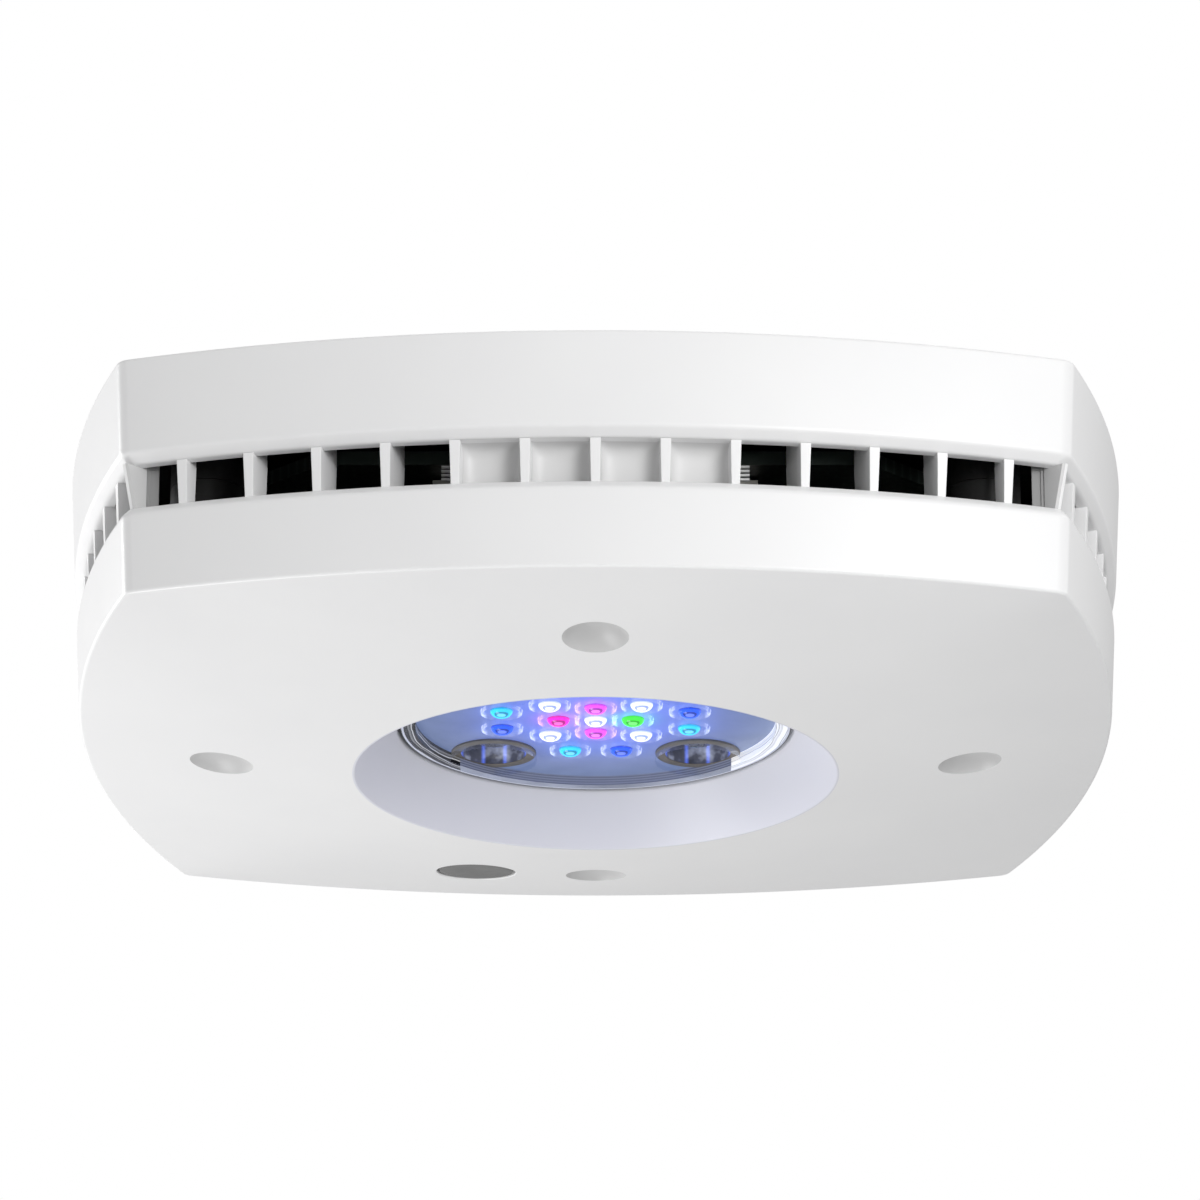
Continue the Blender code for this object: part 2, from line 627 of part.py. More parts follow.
def make_fan(spindle):
    frame = bmesh.new()
    block(frame, (-FAN_HALF, -FAN_HALF, FAN_Z), (FAN_HALF, FAN_HALF, FAN_TOP))
    frame = sub_part("fan_frame", frame, "black_plastic")
    duct_r = 23.9 * MM
    shape_with(frame, "DIFFERENCE", "tool_duct", rod(bmesh.new(), duct_r, 0.0, HEIGHT, steps=36))
    motor_base = rod(bmesh.new(), 12.0 * MM, FAN_Z, FAN_Z + 1.4 * MM, steps=24)
    shape_with(frame, "UNION", "tool_motor_base", motor_base)
    shape_with(frame, "UNION", "tool_struts", four_sides(fan_strut))
    tower = rod(bmesh.new(), 3.7 * MM, FAN_Z + 0.7 * MM, FAN_Z + 6.6 * MM)
    shape_with(frame, "UNION", "tool_bearing_tower", tower)
    bore = rod(bmesh.new(), 2.6 * MM, FAN_Z + 0.8 * MM, FAN_TOP)
    shape_with(frame, "DIFFERENCE", "tool_bearing_bore", bore)
    shape_with(frame, "DIFFERENCE", "tool_fan_bores", fan_screw_rods(1.6 * MM, FAN_Z - MM, FAN_TOP + MM))
    seats = fan_screw_rods(2.7 * MM, FAN_TOP - 1.7 * MM, FAN_TOP + MM)
    shape_with(frame, "DIFFERENCE", "tool_fan_seats", seats)
    low, high = FAN_Z + 1.4 * MM, FAN_Z + 6.4 * MM
    sub_part("fan_bearing", tube(bmesh.new(), 1.3 * MM, 2.3 * MM, low, high, steps=SMALL_STEPS), "brass")
    low, high = FAN_Z + 1.9 * MM, FAN_Z + 5.9 * MM
    stator = tube(bmesh.new(), 4.0 * MM, 9.4 * MM, low, high, steps=24)
    sub_part("fan_stator", stator, "copper")
    for number, place in enumerate(four_places(FAN_SCREW_XY), 1):
        profile = [(1.2 * MM, SINK_Z + 0.9 * MM), (1.2 * MM, FAN_TOP - 1.4 * MM)]
        profile += [(2.3 * MM, FAN_TOP - 1.4 * MM), (2.3 * MM, FAN_TOP - 0.1 * MM)]
        sub_part(f"fan_screw_{number}", turned(bmesh.new(), profile, SMALL_STEPS, place), "steel")
    make_rotor(spindle)


def fan_screw_rods(radius, z_low, z_high):
    bm = bmesh.new()
    for place in four_places(FAN_SCREW_XY):
        rod(bm, radius, z_low, z_high, place, 10)
    return bm


def fan_strut(bm):
    block(bm, (11.0 * MM, -1.2 * MM, FAN_Z + 0.1 * MM), (24.4 * MM, 1.2 * MM, FAN_Z + 1.3 * MM))


def make_rotor(spindle):
    """Hub cup with seven pitched blades, and its shaft, all about the spindle's axis."""
    hub_r, wall = 11.6 * MM, 1.2 * MM
    low, high = FAN_Z + 1.8 * MM - spindle.location.z, FAN_TOP - 0.5 * MM - spindle.location.z
    cup = [(hub_r, low), (hub_r, high - 0.8 * MM), (hub_r - 0.8 * MM, high), (1.0 * MM + GAP, high)]
    cup += [(1.0 * MM + GAP, high - wall), (hub_r - wall, high - wall), (hub_r - wall, low)]
    hub = turned(bmesh.new(), cup, 28, closed=True)
    rotor = sub_part("fan_rotor", hub, "black_plastic", spindle)
    blades = bmesh.new()
    count = 7
    for i in range(count):
        fan_blade(blades, 2 * math.pi * i / count, low + 0.4 * MM, high - 1.0 * MM)
    shape_with(rotor, "UNION", "tool_blades", blades)
    shaft = rod(bmesh.new(), 1.0 * MM, low, high - 0.1 * MM)
    sub_part("fan_shaft", shaft, "steel", spindle)


def fan_blade(bm, start, low, high):
    """Swept blade: sections that lean back as they go out."""
    inner, outer, stations = 11.2 * MM, 22.9 * MM, 4
    half_thick = 0.45 * MM
    loops = []
    for i in range(stations + 1):
        share = i / stations
        radius = inner + (outer - inner) * share
        sweep = start + 0.35 * share
        half_chord = 0.30 - 0.06 * share
        lead, trail = sweep - half_chord, sweep + half_chord
        turn = half_thick / radius
        section = [(lead - turn, low), (lead + turn, low), (trail + turn, high), (trail - turn, high)]
        loops.append([(radius * math.cos(a), radius * math.sin(a), z) for a, z in section])
    loft(bm, loops)


# Driver board and what is on it

def make_driver_board():
    outer, cut, window = 50.0 * MM, 19.5 * MM, FAN_HALF + 2.0 * MM
    edge = outer - cut
    plan = [(outer, -edge), (outer, edge), (edge, outer), (-edge, outer)]
    plan += [(-outer, edge), (-outer, -edge), (-edge, -outer), (edge, -outer)]
    board = prism(bmesh.new(), plan, DRIVER_Z, DRIVER_TOP)
    board = sub_part("driver_board", board, "board_black", smooth=False)
    hole = block(bmesh.new(), (-window, -window, DRIVER_Z - MM), (window, window, DRIVER_TOP + MM))
    shape_with(board, "DIFFERENCE", "tool_fan_window", hole)


def make_components():
    on_board = DRIVER_TOP + GAP
    coil_profile = [(5.0 * MM, on_board), (6.0 * MM, on_board + MM)]
    coil_profile += [(6.0 * MM, on_board + 5 * MM), (5.0 * MM, on_board + 6 * MM)]
    for number, x in enumerate((-38.0 * MM, 38.0 * MM), 1):
        coil = turned(bmesh.new(), coil_profile, 20, (x, -14.0 * MM))
        sub_part(f"power_inductor_{number}", coil, "copper")
        can = rod(bmesh.new(), 4.0 * MM, on_board, on_board + 7.0 * MM, (x, 4.0 * MM), 20)
        sub_part(f"capacitor_{number}", can, "black_plastic")
    wifi = block(bmesh.new(), (-12 * MM, -44 * MM, on_board), (6 * MM, -31 * MM, on_board + 2.6 * MM))
    sub_part("wifi_module", wifi, "steel", smooth=False)
    half = 3.0 * MM
    under_board = DRIVER_Z - GAP
    low = (BUTTON_X - half, BUTTON_Y - half, SWITCH_Z)
    switch = block(bmesh.new(), low, (BUTTON_X + half, BUTTON_Y + half, under_board))
    sub_part("tact_switch", switch, "black_plastic", smooth=False)
    for name, x in (("pin_header_left", -HEADER_X), ("pin_header_right", HEADER_X)):
        low = (x - 1.6 * MM, -46.0 * MM, 15.2 * MM)
        header = block(bmesh.new(), low, (x + 1.6 * MM, -41.0 * MM, under_board))
        sub_part(name, header, "connector_white", smooth=False)


def make_jack():
    body = bmesh.new()
    low, high = (-4.5 * MM, 48.5 * MM, JACK_Z - 3.8 * MM), (4.5 * MM, 58.0 * MM, JACK_Z + 4.0 * MM)
    block(body, low, high)
    jack = sub_part("dc_jack", body, "black_plastic")
    shape_with(jack, "UNION", "tool_jack_barrel", jack_barrel(4.1 * MM, 57.0 * MM, 61.4 * MM))
    shape_with(jack, "DIFFERENCE", "tool_jack_bore", jack_barrel(2.8 * MM, 50.0 * MM, 63.0 * MM))
    sub_part("dc_jack_pin", jack_barrel(1.05 * MM, 50.3 * MM, 60.6 * MM, 12), "brass")


# Fasteners and button

def make_case_screws():
    for number, place in enumerate(four_places(CASE_SCREW_XY), 1):
        profile = [(1.2 * MM, 10.0 * MM), (1.2 * MM, 28.6 * MM), (2.6 * MM, 28.6 * MM)]
        profile += [(2.6 * MM, 30.2 * MM), (2.0 * MM, 30.8 * MM)]
        sub_part(f"case_screw_{number}", turned(bmesh.new(), profile, SMALL_STEPS, place), "steel")
    for name, x in (("arm_insert_left", -INSERT_X), ("arm_insert_right", INSERT_X)):
        insert = tube(bmesh.new(), 2.1 * MM, 3.5 * MM, 24.4 * MM, HEIGHT, (x, INSERT_Y), SMALL_STEPS)
        sub_part(name, insert, "brass")


def make_button(guide):
    """Button cap flush with the dome, with a flange above its sleeve and a stem to the switch."""
    steps = 24
    stem_r, flange_r = 1.6 * MM, 5.6 * MM
    z = guide.location.z
    loops = [circle(BUTTON_R, 0.0, steps)]
    face = []
    for x, y, _ in loops[0]:
        face.append((x, y, dome_height(BUTTON_X + x, BUTTON_Y + y) + 0.15 * MM - z))
    loops = [face, circle(BUTTON_R, 7.3 * MM - z, steps), circle(flange_r, 7.3 * MM - z, steps)]
    loops += [circle(flange_r, 8.2 * MM - z, steps), circle(stem_r, 8.2 * MM - z, steps)]
    loops.append(circle(stem_r, SWITCH_Z - GAP - BUTTON_TRAVEL - z, steps))
    bm = bmesh.new()
    rows = [[bm.verts.new(point) for point in loop] for loop in loops]
    for low, high in zip(rows, rows[1:]):
        for i in range(steps):
            j = (i + 1) % steps
            bm.faces.new((low[i], low[j], high[j], high[i]))
    bm.faces.new(rows[-1])
    centre = bm.verts.new((0.0, 0.0, dome_height(BUTTON_X, BUTTON_Y) + 0.15 * MM - z))
    for i in range(steps):
        bm.faces.new((rows[0][i], rows[0][(i + 1) % steps], centre))
    sub_part("button_cap", bm, "grey_rubber", guide)


def joint_empty(name, place):
    empty = bpy.data.objects.new(name, None)
    empty.location = place
    bpy.context.scene.collection.objects.link(empty)
    return empty


def main():
    clear_scene()
    make_bottom_cover()
    make_top_cover()
    make_lens_puck()
    make_lens_fastenings()
    make_led_board()
    make_leds()
    make_heat_sink()
    make_fan(joint_empty("fan_spindle", (0.0, 0.0, FAN_Z)))
    make_driver_board()
    make_components()
    make_jack()
    make_case_screws()
    make_button(joint_empty("button_guide", (BUTTON_X, BUTTON_Y, dome_height(BUTTON_X, BUTTON_Y))))


main()
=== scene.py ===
import json
import math

import bmesh
import bpy
from mathutils import Matrix, Vector
from mathutils.geometry import delaunay_2d_cdt


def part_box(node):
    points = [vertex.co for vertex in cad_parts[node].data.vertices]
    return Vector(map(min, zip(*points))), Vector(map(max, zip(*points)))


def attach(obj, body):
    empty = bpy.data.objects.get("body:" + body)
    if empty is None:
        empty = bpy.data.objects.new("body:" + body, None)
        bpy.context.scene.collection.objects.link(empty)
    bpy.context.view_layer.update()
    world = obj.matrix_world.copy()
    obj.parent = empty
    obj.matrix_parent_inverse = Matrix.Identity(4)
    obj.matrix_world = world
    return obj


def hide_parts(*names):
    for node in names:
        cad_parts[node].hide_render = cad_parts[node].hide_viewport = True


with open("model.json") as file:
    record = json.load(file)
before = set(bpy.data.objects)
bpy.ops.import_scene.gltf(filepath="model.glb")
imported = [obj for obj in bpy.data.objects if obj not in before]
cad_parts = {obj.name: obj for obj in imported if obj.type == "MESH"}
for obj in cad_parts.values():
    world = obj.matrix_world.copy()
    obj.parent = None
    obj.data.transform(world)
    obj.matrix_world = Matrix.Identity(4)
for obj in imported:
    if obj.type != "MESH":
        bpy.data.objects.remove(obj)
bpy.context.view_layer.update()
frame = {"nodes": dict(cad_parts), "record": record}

# LED aquarium light: fine shells, lens, LEDs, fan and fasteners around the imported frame.
# Metres, +Z up, +Y the back. The light hangs over the floor and shines down.

MM = 0.001

# Housing outline, from the top cover's box
TOP_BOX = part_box("top_cover")
HALF_WIDTH = TOP_BOX[1].x
HEIGHT = TOP_BOX[1].z
HEADER_Z = TOP_BOX[0].z
SIDE_BOW = 8.9 * MM
CORNER_RADIUS = 2.2 * MM
WALL_TOP = HEIGHT - 0.6 * MM
WALL_BOTTOM = 4.04 * MM
DRAFT = 1.53 * MM
WALL = 2.2 * MM
SIDE_STEPS = 64
CORNER_STEPS = 8
CORNER = HALF_WIDTH - SIDE_BOW
SIDE_RADIUS = (CORNER ** 2 + SIDE_BOW ** 2) / (2 * SIDE_BOW)

# Underside and well
MOUTH_R = 28.42 * MM
THROAT_R = 23.45 * MM
WELL_DEPTH = 5.84 * MM
LAND_Z = 7.6 * MM
FLOOR = 2.0 * MM
EDGE = 0.35 * MM
MOUTH_EASE = 0.25 * MM
MOUTH_STEPS = 144
EASE_STEPS = 4
WELL_BACK_R = 31.5 * MM
LAND_BACK_R = 28.0 * MM
HOLE_EASE = 0.12 * MM
FOOT_REACH = 1.2 * MM
FOOT_DROP = 0.2 * MM
DIAGONAL_EASE = 7.0 * MM
DIMPLE_POSITION = 44.1 * MM
DIMPLE_R = 3.75 * MM
DIMPLE_DEPTH = 1.7 * MM

# Vent band
VENT_CHAMFER = 1.05 * MM
VENT_LOW = 13.11 * MM
SILL_Z = VENT_LOW + VENT_CHAMFER
VENT_HIGH = HEADER_Z + VENT_CHAMFER
RAIL = 2.6 * MM
RIB_PITCH = math.radians(2.772)
RIB_COUNT = 6
RIB_HALF = 0.47 * MM
RIB_FOOT_Z = SILL_Z - 0.3 * MM
RIB_HEAD_Z = HEADER_Z + 0.02 * MM
INNER_SILL_Z = SILL_Z - 1.6 * MM
POCKET_FOOT_Z = SILL_Z - 0.05 * MM
POST_FOOT_Z = WALL_BOTTOM + 1.6 * MM
RIB_FOOT_HALF = 0.47 * MM
RIB_TOP_HALF = 0.6 * MM
RIB_BACK = 50.8 * MM
RIB_BACK_Z = 17.6 * MM
RIB_BACK_LEAN = 0.05
RIB_DRAFT = 0.03
RIB_LEAST_DEPTH = 1.2 * MM
RIB_END_Z = 24.0 * MM
BLIND_RIBS = 2
CASE_SCREW_XY = 43.5 * MM
POST_R = 4.2 * MM
POCKET_DEPTH = 3.2 * MM
BLIND_DEPTH = 4.4 * MM
CORNER_RIB_REACH = 2.1 * MM
CORNER_RIB_LEAN = 0.95 * MM
FIN_NEAR = 48.5 * MM
FIN_FAR = 50.3 * MM
FIN_BACK = 49.5 * MM
FIN_THICK = 0.6 * MM
ROOF = 1.6 * MM
ROOF_UNDER_Z = HEIGHT - ROOF

# Roof, grille, screw holes, insert cups and inlet hole
ROOF_LIP = 1.4 * MM
CROWN_START = 0.86
CROWN_FALL = 0.3 * MM
SLOT_RINGS = 4
SLOT_SECTORS = 6
SLOT_WIDTH = 2.2 * MM
SLOT_PITCH = 4.0 * MM
GRILLE_IN_R = 6.6 * MM
SPOKE_HALF = 1.1 * MM
SCREW_HOLE_R = 3.0 * MM
SCREW_SEAT_Z = 28.3 * MM
SHANK_HOLE_R = 1.6 * MM
INSERT_HOLE_R = 3.8 * MM
INSERT_FLOOR_Z = 24.0 * MM
BOSS_R = 5.6 * MM
BOSS_END_Z = 23.0 * MM
JACK_HOLE_R = 4.4 * MM
INNER_ROOF_R = 48 * MM
JACK_HOLE_Y = (55 * MM, 64 * MM)
INSERT_EASE = 0.3 * MM
# Growth and drop of each ring of a grille slot's upper edge
SLOT_EDGE = ((0.15 * MM, 0.0), (0.04 * MM, 0.05 * MM), (0.0, 0.18 * MM))

# Height, inset from the wall and half width of a rib at its ends, below and above the header
LOWER_RIB = (
    (RIB_FOOT_Z, VENT_CHAMFER, RIB_FOOT_HALF),
    (RIB_HEAD_Z, VENT_CHAMFER, RIB_TOP_HALF),
)
UPPER_RIB = (
    (HEADER_Z + 0.05 * MM, WALL - 0.2 * MM, RIB_TOP_HALF),
    (RIB_END_Z, WALL - 0.2 * MM, RIB_TOP_HALF),
)

# Button, from its own box
BUTTON_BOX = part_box("button_cap")
BUTTON = (BUTTON_BOX[0] + BUTTON_BOX[1]) / 2
BUTTON_R = 4.6 * MM
BUTTON_HOLE_R = 4.9 * MM
CAP_FLANGE_R = 5.6 * MM
CAP_FLANGE_LOW = 7.3 * MM
CAP_FLANGE_HIGH = 8.2 * MM
CAP_STEM_R = 1.6 * MM

# Case screws
SCREW_HEAD = 2.2 * MM
SOCKET_DEPTH = 1.2 * MM
SOCKET_REACH = 1.35 * MM
SHANK_R = 1.2 * MM

# Lens and LEDs
LENS_FRONT_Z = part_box("lens_puck")[0].z
LENS_BACK_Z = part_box("lens_puck")[1].z
LENS_STEPS = 128
PLATE_Z = LENS_FRONT_Z + 1.2 * MM
COLLAR_FRONT_Z = LENS_FRONT_Z + 0.95 * MM
LENS_FACE_R = 21.3 * MM
LENS_EDGE_R = 23.1 * MM
LENS_END_X = 16.3 * MM
EDGE_LINE = 1.1 * MM
LENS_LIP = 0.6 * MM
LENS_FLANGE_Z = LENS_FRONT_Z + 0.06 * MM
GLASS_HAZE = 0.04
# Inner and outer radius, in mm, of each ring of the lens flange: a glowing land, a line of painted reflection
# and a gap of painted shadow
FLANGE_RINGS = {"land": (21.36, 22.72), "line": (22.72, 22.98), "gap": (22.98, 23.09)}
PLATE_BACK_Z = PLATE_Z + 0.4 * MM
COLLAR_TOP_Z = 8.0 * MM
WELL_END_Z = 9.8 * MM
WELL_HOLE_R = 1.7 * MM
WELL_WALL_R = 3.9 * MM
COLLAR_R = 5.1 * MM
OPTIC_R = 1.35 * MM
RIDGE_R = 2.35 * MM
OPTIC_DROP = 0.85 * MM
RIDGE_LIP = 0.4 * MM
PALE_BLUE = (0.75, 0.8, 1.0)
# Tints of the painted highlight arcs on the ring round each LED
RIDGE_HIGHLIGHT_TINTS = {
    "led_red": (1.0, 0.6, 0.95),
    "led_green": (0.6, 1.0, 0.75),
    "led_violet": (1.0, 0.7, 1.0),
}

LED_TINTS = {
    "led_white": (1.0, 1.0, 1.0),
    "led_cyan": (0.03, 0.62, 1.0),
    "led_blue": (0.015, 0.1, 0.85),
    "led_red": (1.0, 0.012, 0.5),
    "led_green": (0.05, 1.0, 0.04),
    "led_violet": (0.85, 0.08, 0.85),
}


# Lighting level of the white surround
WORLD_LEVEL = 0.432

# Name, place, aim, size and power of each soft light
SOFT_LIGHTS = (
    ("key_front_right", (0.16, -0.36, 0.0), (0.02, -0.05, 0.015), 0.14, 0.51),
    ("far_front_right", (0.5, -0.7, 0.05), (0.0, 0.0, 0.015), 0.4, 1.35),
    ("side_left", (-0.5, 0.22, 0.02), (-0.06, 0.0, 0.015), 0.35, 2.16),
    ("side_right", (0.5, 0.2, 0.1), (0.06, 0.0, 0.015), 0.35, 0.17),
    ("under_left", (-0.12, 0.0, -0.2), (-0.03, 0.0, 0.0), 0.12, 0.22),
    ("over_top", (0.1, 0.1, 0.7), (0.0, 0.0, 0.03), 0.6, 0.8),
)

# Camera
CAMERA_PLACE = (0.00051, -0.69, -0.22905)
CAMERA_TILT = math.radians(110.0)
CAMERA_LENS = 185.1
FLOOR_LEVEL = -0.47
FLOOR_HALF = 2.5

# Header pins: ends in X and Y, lowest height, pitch and half thickness
PIN_X = (15.4 * MM, 17.1 * MM)
PIN_Y = (-51.5 * MM, -51.1 * MM)
PIN_Z = 17.6 * MM
PIN_PITCH = 0.5 * MM
PIN_HALF = 0.12 * MM


def centre_of(node):
    low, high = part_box(node)
    return (low + high) / 2


SLOTS = {part["node"]: part["material_slot"] for part in frame["record"]["subparts"]}
INSERTS = [centre_of(node) for node in ("arm_insert_left", "arm_insert_right")]


# Materials

class Graph:
    """A Principled material and short ways to add nodes to it."""

    def __init__(self, name, roughness=0.4, metallic=0.0):
        self.material = bpy.data.materials.new(name)
        self.material.use_nodes = True
        self.nodes = self.material.node_tree.nodes
        self.links = self.material.node_tree.links
        self.shader = self.nodes["Principled BSDF"]
        self.shader.inputs["Roughness"].default_value = roughness
        self.shader.inputs["Metallic"].default_value = metallic
        self.place = self.nodes.new("ShaderNodeTexCoord").outputs["Object"]

    def put(self, source, target):
        if hasattr(source, "links"):
            self.links.new(source, target)
        else:
            target.default_value = source

    def noise(self, scale, detail=3.0, vector=None):
        node = self.nodes.new("ShaderNodeTexNoise")
        node.inputs["Scale"].default_value = scale
        node.inputs["Detail"].default_value = detail
        self.links.new(vector or self.place, node.inputs["Vector"])
        return node.outputs["Fac"]

    def math(self, operation, first, second=0.0):
        node = self.nodes.new("ShaderNodeMath")
        node.operation = operation
        self.put(first, node.inputs[0])
        self.put(second, node.inputs[1])
        return node.outputs["Value"]

    def vector(self, operation, first, second=(0.0, 0.0, 0.0), scale=1.0):
        node = self.nodes.new("ShaderNodeVectorMath")
        node.operation = operation
        self.put(first, node.inputs[0])
        self.put(second, node.inputs[1])
        if operation == "SCALE":
            self.put(scale, node.inputs["Scale"])
        return node.outputs["Value" if operation == "LENGTH" else "Vector"]

    def ramp(self, factor, stops, smooth=False):
        """Colours at positions along a factor."""
        node = self.nodes.new("ShaderNodeValToRGB")
        node.color_ramp.interpolation = "EASE" if smooth else "LINEAR"
        elements = node.color_ramp.elements
        while len(elements) < len(stops):
            elements.new(0.5)
        for element, (position, colour) in zip(elements, stops):
            element.position = position
            element.color = (*colour, 1.0)
        self.links.new(factor, node.inputs["Fac"])
        return node.outputs["Color"]

    def greys(self, factor, stops, smooth=False):
        return self.ramp(factor, [(position, grey(value)) for position, value in stops], smooth)

    def spread(self, factor, low, high):
        """Map a 0.3 to 0.7 noise onto a range."""
        node = self.nodes.new("ShaderNodeMapRange")
        node.inputs["From Min"].default_value = 0.3
        node.inputs["From Max"].default_value = 0.7
        node.inputs["To Min"].default_value = low
        node.inputs["To Max"].default_value = high
        self.links.new(factor, node.inputs["Value"])
        return node.outputs["Result"]

    def split(self):
        node = self.nodes.new("ShaderNodeSeparateXYZ")
        self.links.new(self.place, node.inputs[0])
        return node.outputs

    def colour(self, source):
        self.links.new(source, self.shader.inputs["Base Color"])

    def rough(self, source):
        self.links.new(source, self.shader.inputs["Roughness"])

    def bump(self, height, strength=0.2, distance=0.05 * MM):
        node = self.nodes.new("ShaderNodeBump")
        node.inputs["Strength"].default_value = strength
        node.inputs["Distance"].default_value = distance
        self.links.new(height, node.inputs["Height"])
        self.links.new(node.outputs["Normal"], self.shader.inputs["Normal"])

    def glow(self, source, strength=1.0):
        self.put(source, self.shader.inputs["Emission Color"])
        self.shader.inputs["Emission Strength"].default_value = strength


def moulded(name, dark, light, roughness=0.35, grain=2500.0, relief=0.08, metallic=0.0, patch=35.0):
    """Moulded or cast finish: faint broad mottling, fine grain in gloss and relief."""
    graph = Graph(name, roughness, metallic)
    graph.colour(graph.ramp(graph.noise(patch), [(0.3, dark), (0.7, light)]))
    fine = graph.noise(grain, 2.0)
    graph.rough(graph.spread(fine, roughness - 0.05, roughness + 0.05))
    graph.bump(fine, relief)
    return graph


def grey(value):
    return (value, value, value)


def make_white_plastic():
    return moulded("white_plastic", (0.84, 0.84, 0.845), (0.87, 0.87, 0.872), 0.34, 3000.0, 0.05).material


def make_shaded_plastic():
    """The same plastic where it lies in its own shade: dimples and pocket floors."""
    return moulded("shaded_plastic", grey(0.56), grey(0.6), 0.4, 3000.0, 0.05).material


def make_well_painted_shade():
    # The white plastic of the light well, painted darker as shade and tinted bluish.
    return moulded("well_painted_shade", (0.71, 0.715, 0.775), (0.73, 0.735, 0.795), 0.4, 3000.0, 0.05).material


def make_inner_painted_shade():
    """Near black painted shade on the inside of the shells."""
    return moulded("inner_painted_shade", grey(0.006), grey(0.01), 0.6, 1500.0, 0.2).material


def make_button_rubber():
    return moulded("button_rubber", grey(0.16), grey(0.19), 0.62, 2600.0, 0.35, patch=300.0).material


def make_collar_metal():
    graph = moulded("collar_finish", (0.12, 0.11, 0.10), (0.17, 0.155, 0.14), 0.42, 5000.0, 0.15, 0.1, 400.0)
    return graph.material


def make_anodised():
    """Black anodised aluminium with a faint extrusion grain along Y."""
    graph = Graph("black_anodised", 0.45, 0.85)
    stretched = graph.vector("MULTIPLY", graph.place, (1.0, 0.06, 1.0))
    grain = graph.noise(2600.0, 3.0, stretched)
    graph.colour(graph.greys(grain, [(0.35, 0.014), (0.65, 0.03)]))
    graph.rough(graph.spread(grain, 0.38, 0.52))
    graph.bump(grain, 0.1)
    return graph.material


def make_board(name, mask, trace):
    """Circuit board: solder mask with darker and lighter track cells."""
    graph = Graph(name, 0.35)
    cells = graph.nodes.new("ShaderNodeTexBrick")
    cells.inputs["Scale"].default_value = 260.0
    cells.inputs["Mortar Size"].default_value = 0.03
    cells.inputs["Color1"].default_value = (*mask, 1.0)
    cells.inputs["Color2"].default_value = (*[0.8 * c for c in mask], 1.0)
    cells.inputs["Mortar"].default_value = (*trace, 1.0)
    graph.links.new(graph.place, cells.inputs["Vector"])
    graph.colour(cells.outputs["Color"])
    fine = graph.noise(1800.0)
    graph.rough(graph.spread(fine, 0.3, 0.42))
    graph.bump(fine, 0.1)
    return graph.material


def make_brushed(name, dark, light):
    """Bright metal with fine turning marks around its axis."""
    graph = Graph(name, 0.28, 1.0)
    marks = graph.noise(6000.0, 2.0, graph.vector("MULTIPLY", graph.place, (1.0, 1.0, 3.0)))
    graph.colour(graph.ramp(marks, [(0.3, dark), (0.7, light)]))
    graph.rough(graph.spread(marks, 0.22, 0.36))
    graph.bump(marks, 0.05)
    return graph.material


def make_winding():
    """Enamelled copper turns."""
    graph = Graph("copper_winding", 0.3, 0.9)
    height = graph.split()["Z"]
    turns = graph.math("PINGPONG", height, 0.25 * MM)
    share = graph.math("MULTIPLY", turns, 1 / (0.25 * MM))
    graph.colour(graph.ramp(share, [(0.0, (0.12, 0.03, 0.01)), (1.0, (0.62, 0.24, 0.09))]))
    graph.bump(share, 0.5, 0.1 * MM)
    return graph.material


def make_plate(leds):
    """Satin reflector plate in the lens, glowing with painted light: a painted pool of light round each LED
    and a broad blue one in the middle.
    """
    graph = Graph("lens_plate", 0.3)
    flat = graph.vector("MULTIPLY", graph.place, (1.0, 1.0, 0.0))
    mottle = graph.noise(240.0)
    graph.colour(graph.ramp(mottle, [(0.3, (0.10, 0.11, 0.14)), (0.7, (0.13, 0.14, 0.18))]))
    total = graph.vector("SCALE", (0.085, 0.13, 0.235), scale=graph.spread(mottle, 0.9, 1.1))
    # Painted pools of light, which the plate emits though it is no lamp.
    pools = [((0.0, -1.0 * MM), (0.02, 0.05, 0.74), 12.5 * MM)]
    for tint, place in leds:
        colour = [0.45 * c for c in LED_TINTS[tint]]
        if tint in ("led_blue", "led_cyan", "led_white"):
            colour = [0.01, 0.05, 0.26]
        pools.append(((place.x, place.y), colour, 2.4 * MM))
    for (x, y), colour, reach in pools:
        away = graph.vector("LENGTH", graph.vector("SUBTRACT", flat, (x, y, 0.0)))
        near = graph.math("EXPONENT", graph.math("MULTIPLY", graph.math("POWER", away, 2.0), -1 / reach ** 2))
        total = graph.vector("ADD", total, graph.vector("SCALE", tuple(colour), scale=near))
    graph.glow(total, 1.0)
    return graph.material


def make_led_glow(name, tint):
    """Lit primary optic: pale core, darker ring round its flat end, hottest low down."""
    graph = Graph(name, 0.12)
    deep = [0.35 * c for c in tint]
    core = [0.75 * c + 0.12 for c in tint]
    if name == "glow_led_white":
        deep = [0.3, 0.36, 0.62]
    height = graph.split()["Z"]
    share = graph.math("MULTIPLY", height, -1 / OPTIC_DROP)
    lit = graph.ramp(share, [(0.0, deep), (0.35, tint)])
    flat = graph.vector("MULTIPLY", graph.vector("ADD", graph.place, (0.0, 0.55 * MM, 0.0)), (1.0, 1.5, 0.0))
    away = graph.math("MULTIPLY", graph.vector("LENGTH", flat), 1 / OPTIC_R)
    rings = graph.ramp(away, [(0.0, core), (0.36, core), (0.42, deep), (0.58, deep), (0.66, tint)])
    outer = graph.math("GREATER_THAN", away, 0.64)
    colour = mix_colours(graph, outer, rings, lit)
    wave = graph.spread(graph.noise(900.0), 0.92, 1.08)
    graph.colour(colour)
    graph.glow(graph.vector("SCALE", colour, scale=wave), 1.0)
    return graph.material


